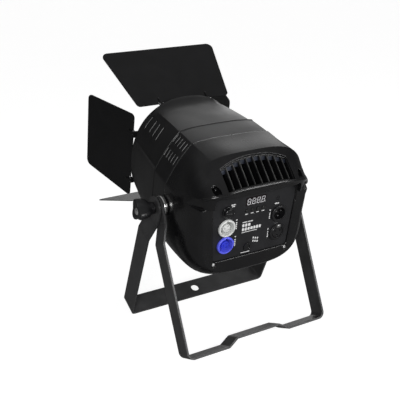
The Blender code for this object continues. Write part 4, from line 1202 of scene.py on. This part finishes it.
def add_blade(bm, angle):
    """A swept blade with a curved chord, longer and flatter towards its tip."""
    rings = []
    chord_steps = (-1, -0.5, 0, 0.5, 1)
    for i in range(7):
        share = i / 6
        radius = BLADE_ROOT + BLADE_SPAN * share
        chord = 7.0 + 5.0 * share
        lean = math.radians(48.0 - 18.0 * share)
        twist = angle + 0.12 * share
        along = Vector((math.cos(lean), math.sin(lean)))
        thick = Vector((-along.y, along.x))
        section = [along * chord * t + thick * (0.7 + 1.2 * (1 - t * t)) for t in chord_steps]
        section += [along * chord * t + thick * (-0.7 + 1.2 * (1 - t * t)) for t in chord_steps[::-1]]
        rings.append([(radius * math.cos(twist) - p.x * math.sin(twist), p.y - 7.0,
                       radius * math.sin(twist) + p.x * math.cos(twist)) for p in section])
    skin(bm, rings)


# ---------------------------------------------------------------- control panel

POWER_X = 40.9
POWER_OUT_Z = 1.7
POWER_IN_Z = -23.8
DATA_X = -40.4
DATA_OUT_Z = -22.9
DATA_IN_Z = 5.5
FUSE_XZ = (41.3, 25.6)
MIC_XZ = (-36.3, 29.2)
PORT_XZ = (5.4, -35.2)
DISPLAY_XZ = (-1.4, 33.2)
DISPLAY_SIZE = (31.0, 12.0)
BUTTON_X = (11.5, 3.1, -5.3, -13.8)
BUTTON_Z = 20.6
BUTTON_R = 2.3
PANEL_T = 1.5
MIC_HOLE_R = 0.7
# The panel's round holes: x, z, radius
PANEL_HOLES = [(POWER_X, POWER_OUT_Z, 11.6), (POWER_X, POWER_IN_Z, 11.6), (DATA_X, DATA_OUT_Z, 10.4),
               (DATA_X, DATA_IN_Z, 10.4), (*FUSE_XZ, 6.3), (*PORT_XZ, 4.7), (*MIC_XZ, MIC_HOLE_R)]
PANEL_HOLES += [(x, BUTTON_Z, BUTTON_R + 0.4) for x in BUTTON_X]
PANEL_HOLES += [(x, z, MIC_HOLE_R) for x, _, z in circle(2.4, 0.0, 6, MIC_XZ)]


def build_panel():
    mesh = to_mesh("plate", prism(panel_outline(0.0), -PANEL_T, 0.0))
    holes = bmesh.new()
    for x, z, radius in PANEL_HOLES:
        turned([(radius, -PANEL_T - 2.0), (radius, 2.0)], 56 if radius > 3 else 20, (x, z), bm=holes)
    prism(rounded(rectangle(*DISPLAY_XZ, *DISPLAY_SIZE), 1.0, 4), -4.0, 3.0, holes)
    mesh = cut(mesh, holes)
    latch_slot = prism(rounded(rectangle(DATA_X, DATA_OUT_Z + 9.8, 6.8, 5.6), 0.8, 4), -4.0, 3.0)
    piece("panel_plate", cut(mesh, latch_slot), M_PANEL, "control_panel", PANEL)


def flange(stem, back, radius):
    """The start of a socket's profile: a stem through the panel, and a flange that rests on it."""
    return [(stem, back), (stem, GAP), (radius - 0.2, GAP), (radius, 0.5)]


def power_socket(name, z, ring_mat, core_mat, node):
    """A round locking mains socket: flange, keyed ring groove and a core with contact slots."""
    place = (POWER_X, 0, z)
    ring = flange(11.2, -20.0, 12.4) + [(12.4, 2.2), (12.2, 2.8), (11.8, 3.3), (11.3, 3.5), (10.2, 3.5),
                                        (9.8, 3.3), (9.7, 2.9), (9.7, -12.0), (0.4, -12.0)]
    mesh = to_mesh(name, turned(ring, 80, (POWER_X, z)))
    for degrees, half in ((0.0, 1.6), (-120.0, 1.1), (-240.0, 1.1)):
        mesh = cut(mesh, spun(box((-half, -9.0, 9.2), (half, 4.2, 10.9)), degrees, place))
    piece(f"{name}_ring", mesh, ring_mat, node, PANEL)
    core = [(5.6, -11.6), (5.6, 0.6), (5.3, 1.2), (4.8, 1.5), (0.4, 1.5)]
    mesh = to_mesh(name, turned(core, 56, (POWER_X, z)))
    for degrees in (90.0, 210.0, 330.0):
        mesh = cut(mesh, spun(box((-1.5, -6.0, 2.6), (1.5, 4.2, 3.7)), degrees, place))
    piece(f"{name}_core", mesh, core_mat, matrix=PANEL)


def data_socket(name, z, female, node):
    """A round data socket with three contacts."""
    face = 0.6 if female else -11.0
    shell = flange(10.0, -20.0, 12.2) + [(12.2, 1.7), (11.9, 2.2), (11.4, 2.5), (9.2, 2.5), (8.8, 2.3),
                                         (8.6, 1.9), (8.6, face), (0.4, face)]
    mesh = to_mesh(name, turned(shell, 72, (DATA_X, z)))
    if female:
        mesh = cut(mesh, box((DATA_X - 3.3, -3.0, z + 7.7), (DATA_X + 3.3, 6.0, z + 12.8)))
    piece(f"{name}_shell", mesh, M_DATA, node, PANEL)
    contacts = bmesh.new()
    pin = [(1.25, -12.5), (1.25, -1.6), (0.9, -1.0), (0.3, -0.8)]
    hole = [(1.35, -6.0), (1.35, 3.0)]
    for degrees in (30.0, 150.0, 270.0):
        angle = math.radians(degrees)
        place = (DATA_X + 4.6 * math.cos(angle), z + 4.6 * math.sin(angle))
        turned(hole if female else pin, 24 if female else 20, place, bm=contacts)
    if female:
        insert = to_mesh(name, turned([(8.1, 0.0), (8.1, 1.5), (7.8, 1.8), (0.4, 1.8)], 56, (DATA_X, z)))
        piece(f"{name}_insert", cut(insert, contacts), M_FUSE, matrix=PANEL)
    else:
        piece(f"{name}_pins", contacts, M_LATCH, matrix=PANEL)


def build_sockets():
    power_socket("mains_out", POWER_OUT_Z, M_WHITE, M_WHITE, "power_out_socket")
    power_socket("mains_in", POWER_IN_Z, M_BLUE, M_BLUE_DARK, "power_in_socket")
    data_socket("data_out", DATA_OUT_Z, True, "dmx_out_socket")
    data_socket("data_in", DATA_IN_Z, False, "dmx_in_socket")
    outline = rounded(rectangle(DATA_X, DATA_OUT_Z + 10.1, 6.0, 3.8), 0.8, 4)
    piece("latch_tab", prism(outline, -0.6, 4.0), M_LATCH, "dmx_latch", PANEL, "dmx_latch", bevel=0.4)
    holder = flange(5.9, -16.0, 7.6) + [(7.6, 1.5), (7.3, 2.0), (6.8, 2.3), (5.4, 2.3), (5.2, 2.1),
                                        (5.2, -8.0), (0.4, -8.0)]
    piece("fuse_body", turned(holder, 56, FUSE_XZ), M_FUSE, "fuse_holder", PANEL)
    cap = [(4.8, -6.0), (4.8, 2.7), (6.3, 2.7), (6.6, 3.0), (6.6, 5.8), (6.3, 6.4), (5.7, 6.8), (0.3, 6.8)]
    x, z = FUSE_XZ
    coin_slot = box((x - 4.4, 5.4, z - 0.7), (x + 4.4, 8.0, z + 0.7))
    mesh = cut(to_mesh("cap", turned(cap, 56, FUSE_XZ)), coin_slot)
    piece("fuse_lid", mesh, M_FUSE, "fuse_cap", PANEL, "fuse_cap")
    plug = flange(4.2, -7.0, 6.0) + [(6.0, 1.3), (5.7, 1.8), (5.2, 2.0), (3.4, 2.0), (3.2, 1.8),
                                     (3.2, 0.6), (0.3, 0.6)]
    piece("port_plug", turned(plug, 48, PORT_XZ), M_FUSE, "service_plug", PANEL)


DIGIT_PITCH = 7.2
DIGIT_START = 10.9
DIGIT_W = 4.3
DIGIT_H = 8.0
DIGIT_BAR = 0.7
DIGIT_SLANT = 0.1
DIGIT_Y = (0.52, 0.6)
# The faces of printed marks, above the panel
PRINT_Y = (0.03, 0.09)


def seven_segments(bm, x, z):
    """All seven bars of one display digit, slightly slanted."""
    half, rise, gap, t = DIGIT_W / 2, DIGIT_H / 2, DIGIT_BAR * 0.32, DIGIT_BAR / 2
    bars = [((-half + gap, v), (half - gap, v)) for v in (-rise, 0.0, rise)]
    bars += [((u, v + gap), (u, v + rise - gap)) for u in (-half, half) for v in (-rise, 0.0)]
    for (u0, v0), (u1, v1) in bars:
        if v0 == v1:
            ends = [(u0, v0), (u0 + t, v0 - t), (u1 - t, v0 - t), (u1, v0), (u1 - t, v0 + t),
                    (u0 + t, v0 + t)]
        else:
            ends = [(u0, v0), (u0 + t, v0 + t), (u0 + t, v1 - t), (u0, v1), (u0 - t, v1 - t),
                    (u0 - t, v0 + t)]
        # x runs to the viewer's left on the panel
        prism([(x - u - DIGIT_SLANT * v, z + v) for u, v in ends], *DIGIT_Y, bm)


def build_display():
    x, z = DISPLAY_XZ
    rings = []
    for grow, y in ((2.5, -8.0), (2.5, -3.0), (-GAP, -3.0), (-GAP, 0.3), (-GAP - 0.2, 0.5)):
        outline = rounded(rectangle(x, z, DISPLAY_SIZE[0] + 2 * grow, DISPLAY_SIZE[1] + 2 * grow), 0.9, 4)
        rings.append([(u, y, v) for u, v in outline])
    piece("display_window", solid(rings), M_SMOKE, "display_module", PANEL)
    digits = bmesh.new()
    for i in range(4):
        place = x + DIGIT_START - DIGIT_PITCH * i
        seven_segments(digits, place, z)
        turned([(0.5, y) for y in DIGIT_Y], 14, (place - 3.2, z - 3.9), bm=digits)
    piece("display_digits", digits, M_DIGIT, matrix=PANEL)
    key = [(3.2, -3.6), (3.2, -2.6), (BUTTON_R, -2.6), (BUTTON_R, 0.8), (2.1, 1.2), (1.7, 1.45), (1.2, 1.3),
           (0.3, 1.2)]
    for number, place in enumerate(BUTTON_X, 1):
        button = f"menu_button_{number}"
        piece(f"key_{number}", turned(key, 32, (place, BUTTON_Z)), M_BUTTON, button, PANEL, button)


TITLE_X = 16.4
# Rows of plain blocks in place of a printed title: height on the panel, block widths, block height
TITLE_ROWS = (
    (3.6, (7.0, 8.0), 1.3),
    (-1.2, (3.4, 3.4, 3.8), 4.4),
    (-7.2, (3.2, 3.6, 3.2, 3.8, 3.2, 3.4, 3.0), 4.4),
    (-11.6, (24.0,), 0.9),
)
# Bars beside the sockets: x, the sockets' heights, top bar's offset, step, bar size, arrow's offset
SOCKET_COLUMNS = (
    (POWER_X - 15.2, (POWER_OUT_Z, POWER_IN_Z), 4.2, 2.8, (1.7, 2.0), 8.6),
    (DATA_X + 14.6, (DATA_OUT_Z, DATA_IN_Z), 3.0, 2.5, (1.6, 1.7), 7.4),
)


def print_bar(bm, x, z, width, height):
    prism(rounded(rectangle(x, z, width, height), min(width, height) * 0.3, 3), *PRINT_Y, bm)


def build_marks():
    """Generic printed marks beside the controls: bars and arrows, no lettering."""
    bm = bmesh.new()
    fuse_x, fuse_z = FUSE_XZ
    bars = [(x, BUTTON_Z - 5.2, 4.2, 1.1) for x in BUTTON_X]
    bars += [(fuse_x - 8.4, fuse_z + up, width, 1.4) for up, width in ((8.0, 6.5), (5.6, 4.5), (-4.9, 5.0))]
    bars.append((MIC_XZ[0] + 1.2, MIC_XZ[1] - 7.6, 6.5, 1.6))
    for x, heights, top, step, size, arrow in SOCKET_COLUMNS:
        for z, way in zip(heights, (1, -1)):
            bars += [(x, z + top - step * k, *size) for k in range(4)]
            tip = z + arrow
            prism([(x - 1.4, tip - way), (x + 1.4, tip - way), (x, tip + 1.3 * way)], *PRINT_Y, bm)
    for z, widths, height in TITLE_ROWS:
        edge = TITLE_X
        for width in widths:
            bars.append((edge - width / 2, z, width, height))
            edge -= width + 1.0
    bars += [(-3.2 - 3.4 * k, z - 0.9 * k, 2.0, 2.8) for k in range(3) for z in (-23.6, -28.4)]
    bars.append((8.0, -43.2, 14.0, 1.1))
    for bar in bars:
        print_bar(bm, *bar)
    piece("panel_marks", bm, M_PRINT, matrix=PANEL)


# ---------------------------------------------------------------- barn doors

HINGE_Y = -132.3
HINGE_R = 78.9
RING_R = (70.0, 80.5)
RING_Y = (-129.8, -128.3)
LEAF_T = 1.2
LEAF_START = 0.2
# A leaf's half width at the hinge and at its far edge, and its length
TOP_LEAF = (74.2, 93.6, 106.0)
SIDE_LEAF = (67.9, 59.7, 104.0)
# For each leaf: its hinges' distance from the middle, its angle in the photo and its turn round the ring
STATION = {"top": 36.0, "bottom": 36.0, "left": 38.0, "right": 38.0}
LEAF_ANGLE = {"top": 23.4, "bottom": 29.35, "left": 16.6, "right": 16.6}
SIDE_TURN = {"top": 0.0, "left": 90.0, "bottom": 180.0, "right": -90.0}
PIN_HOLE_R = 1.4
LUG_R = 2.2
TAB_R = 2.0
# Along the hinge from a station: the leaf's notch round the lug, and its tab
NOTCH = (-3.2, 5.2)
TAB = (1.3, 3.3)


def side_matrix(name):
    turn = math.radians(SIDE_TURN[name])
    place = Vector((HINGE_R * math.sin(turn), HINGE_Y, HINGE_R * math.cos(turn))) * MM
    return HEAD @ Matrix.Translation(place) @ Matrix.Rotation(turn, 4, "Y")


def build_barn_ring():
    """The flat ring that carries the leaves, with two hinge lugs for each of them."""
    (inside, outside), (front, back) = RING_R, RING_Y
    section = [(inside, front), (outside, front), (outside, back), (inside, back)]
    mesh = to_mesh("ring", turned(section, 120, closed=True))
    lug = [(-128.7, 76.9), (-128.7, 80.4), (-130.0, 81.1)] + arc((HINGE_Y, HINGE_R), LUG_R, 90, 270, 16)
    lug.append((-130.0, 76.7))
    for name, degrees in SIDE_TURN.items():
        for x in (-STATION[name], STATION[name]):
            feet = box((x - 5.0, front + 0.1, 66.0), (x + 5.0, back - 0.1, 80.4))
            mesh = cut(mesh, spun(feet, degrees), "UNION")
            mesh = cut(mesh, spun(cross_prism(lug, x - 1.0, x + 1.0), degrees), "UNION")
            pin_hole = arc((HINGE_Y, HINGE_R), PIN_HOLE_R, 0, 345, 23)
            mesh = cut(mesh, spun(cross_prism(pin_hole, x - 3.0, x + 3.0), degrees))
    piece("door_ring", mesh, M_LEAF, "barn_door_ring", HEAD, "barn_ring", smooth=30.0)


# A hinge rivet: radius, and place along the hinge from its station
RIVET_PROFILE = [(0.4, -2.7), (1.4, -2.5), (2.0, -1.9), (2.0, -1.3), (1.1, -1.3), (1.1, 3.6), (2.0, 3.6),
                 (2.0, 4.1), (1.5, 4.7), (0.4, 4.9)]


def build_rivets(name):
    for number, way in ((1, -1), (2, 1)):
        profile = [(radius, STATION[name] + x) for radius, x in RIVET_PROFILE]
        piece(f"door_rivet_{name}_{number}", x_turned(profile, way, 28), M_RIVET,
              f"hinge_rivet_{name}_{number}", side_matrix(name), "barn_ring")


def build_leaf(name):
    """A sheet leaf with a notch round each lug and a tab that the rivet passes through."""
    inner_half, outer_half, length = TOP_LEAF if name in ("top", "bottom") else SIDE_LEAF
    corners = [(-inner_half, -LEAF_START), (inner_half, -LEAF_START), (outer_half, -length),
               (-outer_half, -length)]
    outline = rounded(corners, (6.0, 6.0, 9.0, 9.0), 14)
    mesh = to_mesh("leaf", solid([[(x, y, z) for x, y in outline] for z in (-LEAF_T / 2, LEAF_T / 2)]))
    tab = arc((0.0, 0.0), TAB_R, -90, 90, 14)
    tab += [(-9.0, TAB_R), (-13.0, 0.4), (-13.0, -0.4), (-9.0, -TAB_R)]
    for way in (-1, 1):
        notch, ends = (sorted(way * (STATION[name] + x) for x in span) for span in (NOTCH, TAB))
        mesh = cut(mesh, box((notch[0], -3.2, -4.0), (notch[1], 3.0, 4.0)))
        mesh = cut(mesh, cross_prism(tab, *ends), "UNION")
        pin_hole = arc((0.0, 0.0), PIN_HOLE_R, 0, 345, 23)
        mesh = cut(mesh, cross_prism(pin_hole, ends[0] - 1, ends[1] + 1))
    matrix = side_matrix(name) @ Matrix.Rotation(math.radians(-LEAF_ANGLE[name]), 4, "X")
    piece(f"door_{name}", mesh, M_LEAF, f"leaf_{name}", matrix, f"leaf_{name}", smooth=10.0)


def build_barn_doors():
    build_barn_ring()
    for name in STATION:
        build_leaf(name)
        build_rivets(name)


# ---------------------------------------------------------------- inside parts that keep their CAD shape


def paint_cad_nodes():
    """Give the inside parts that keep their CAD shape a material."""
    kept = {"chassis_strap": M_STRAP, "power_supply": M_SUPPLY, "control_board": M_PCB,
            "microphone": M_CAPSULE}
    for name, mat in kept.items():
        obj = frame["nodes"][name]
        obj.data.materials.clear()
        obj.data.materials.append(mat)


# ---------------------------------------------------------------- studio

FOCAL_PX = 708.36
PICTURE_PX = 400
SENSOR_MM = 36.0
# The camera: its direction from the pivot, its roll, its shift to the right and upwards, its distance
CAMERA_AZIMUTH = 151.177
CAMERA_ELEVATION = 19.647
CAMERA_ROLL = -1.578
CAMERA_SHIFT = (-0.0329, -0.0097)
CAMERA_DISTANCE = 0.9795
FLOOR_SIZE = 30.0
FLOOR_LIFT = 0.9
WHITE = (1.0, 1.0, 1.0)
# The backdrop: its direction, and the cosines between which its brightness rises from 0 to 1.6
BACKDROP_WAY = (-0.45, -0.84, 0.3)
BACKDROP_FADE = (0.91, 0.97, 0.0, 1.6)
# Brightness of the surroundings against the sine of their elevation
SKY = ((0.0, 0.08), (0.2, 0.06), (0.45, 0.1), (0.7, 0.25), (1.0, 0.3))
# Area lights: place and target in metres, width and height, watts
LIGHTS = {
    "top_light": ((-0.6, -0.75, 1.45), (0, 0, 0.2), (1.2, 1.0), 0.4),
    "left_box": ((1.14, 1.62, 0.72), (0, 0.1, 0.2), (0.5, 0.7), 18.0),
    "right_box": ((-0.91, 1.77, 0.8), (0, 0.1, 0.2), (1.0, 0.5), 20.0),
}


def build_camera():
    azimuth, elevation = math.radians(CAMERA_AZIMUTH), math.radians(CAMERA_ELEVATION)
    roll = math.radians(CAMERA_ROLL)
    back = Vector((math.sin(azimuth) * math.cos(elevation), -math.cos(azimuth) * math.cos(elevation),
                   math.sin(elevation)))
    right = Vector((0, 0, 1)).cross(back).normalized()
    up = back.cross(right)
    right, up = (right * math.cos(roll) + up * math.sin(roll),
                 up * math.cos(roll) - right * math.sin(roll))
    data = bpy.data.cameras.new("camera")
    data.sensor_width = SENSOR_MM
    data.lens = FOCAL_PX / PICTURE_PX * SENSOR_MM
    data.clip_start = 0.01
    camera = show("camera", data)
    matrix = Matrix((right, up, back)).transposed().to_4x4()
    matrix.translation = PIVOT + back * CAMERA_DISTANCE + right * CAMERA_SHIFT[0] + up * CAMERA_SHIFT[1]
    camera.matrix_world = matrix
    bpy.context.scene.camera = camera


def area_light(name, place, target, size, power):
    data = bpy.data.lights.new(name, "AREA")
    data.shape = "RECTANGLE"
    data.size, data.size_y = size
    data.energy = power
    light = show(name, data)
    light.location = place
    light.rotation_mode = "QUATERNION"
    light.rotation_quaternion = (Vector(target) - Vector(place)).to_track_quat("-Z", "Y")


def build_floor():
    """A pale floor. The camera sees it lifted almost to white, so that only the soft shadow shows."""
    g = Graph("studio_floor", "none")
    g.shade(Base_Color=g.mix(g.noise(3.0), (0.33, 0.33, 0.33), (0.37, 0.37, 0.37)), Roughness=0.9,
            Specular_IOR_Level=0.05, Emission_Color=(*WHITE, 1),
            Emission_Strength=g.math("MULTIPLY", g.ray("Is Camera Ray"), FLOOR_LIFT))
    bm = bmesh.new()
    bmesh.ops.create_grid(bm, x_segments=1, y_segments=1, size=FLOOR_SIZE)
    mesh = bpy.data.meshes.new("floor")
    bm.to_mesh(mesh)
    bm.free()
    mesh.materials.append(g.mat)
    show("floor", mesh)


def build_world():
    """White to the camera. Reflections see a dim sky and, far behind the object, the white backdrop."""
    world = bpy.data.worlds.new("studio")
    bpy.context.scene.world = world
    world.use_nodes = True
    g = Nodes(world.node_tree)
    way = g.add("ShaderNodeTexCoord").outputs["Generated"]
    split = g.add("ShaderNodeSeparateXYZ")
    g.link(way, split.inputs[0])
    ramp = g.add("ShaderNodeValToRGB")
    g.link(split.outputs["Z"], ramp.inputs["Fac"])
    elements = ramp.color_ramp.elements
    while len(elements) < len(SKY):
        elements.new(0.5)
    for element, (place, value) in zip(elements, SKY):
        element.position = place
        element.color = (value, value, value, 1)
    glow = g.remap(g.dot(way, BACKDROP_WAY), *BACKDROP_FADE, interpolation_type="SMOOTHSTEP")
    glow = g.math("MULTIPLY", glow, g.ray("Is Glossy Ray"))
    seen = g.mix(1.0, ramp.outputs["Color"], glow, blend_type="ADD")
    g.link(g.mix(g.ray("Is Camera Ray"), seen, WHITE), g.tree.nodes["Background"].inputs["Color"])


def build_studio():
    build_floor()
    build_world()
    for name, setting in LIGHTS.items():
        area_light(name, *setting)
    bpy.context.scene.view_settings.view_transform = "Standard"


build_brackets()
build_tilt_hardware()
build_front_housing()
build_rear_cover()
build_screws()
build_optics()
build_sink()
build_fan()
build_panel()
build_sockets()
build_display()
build_marks()
build_barn_doors()
paint_cad_nodes()
build_camera()
build_studio()
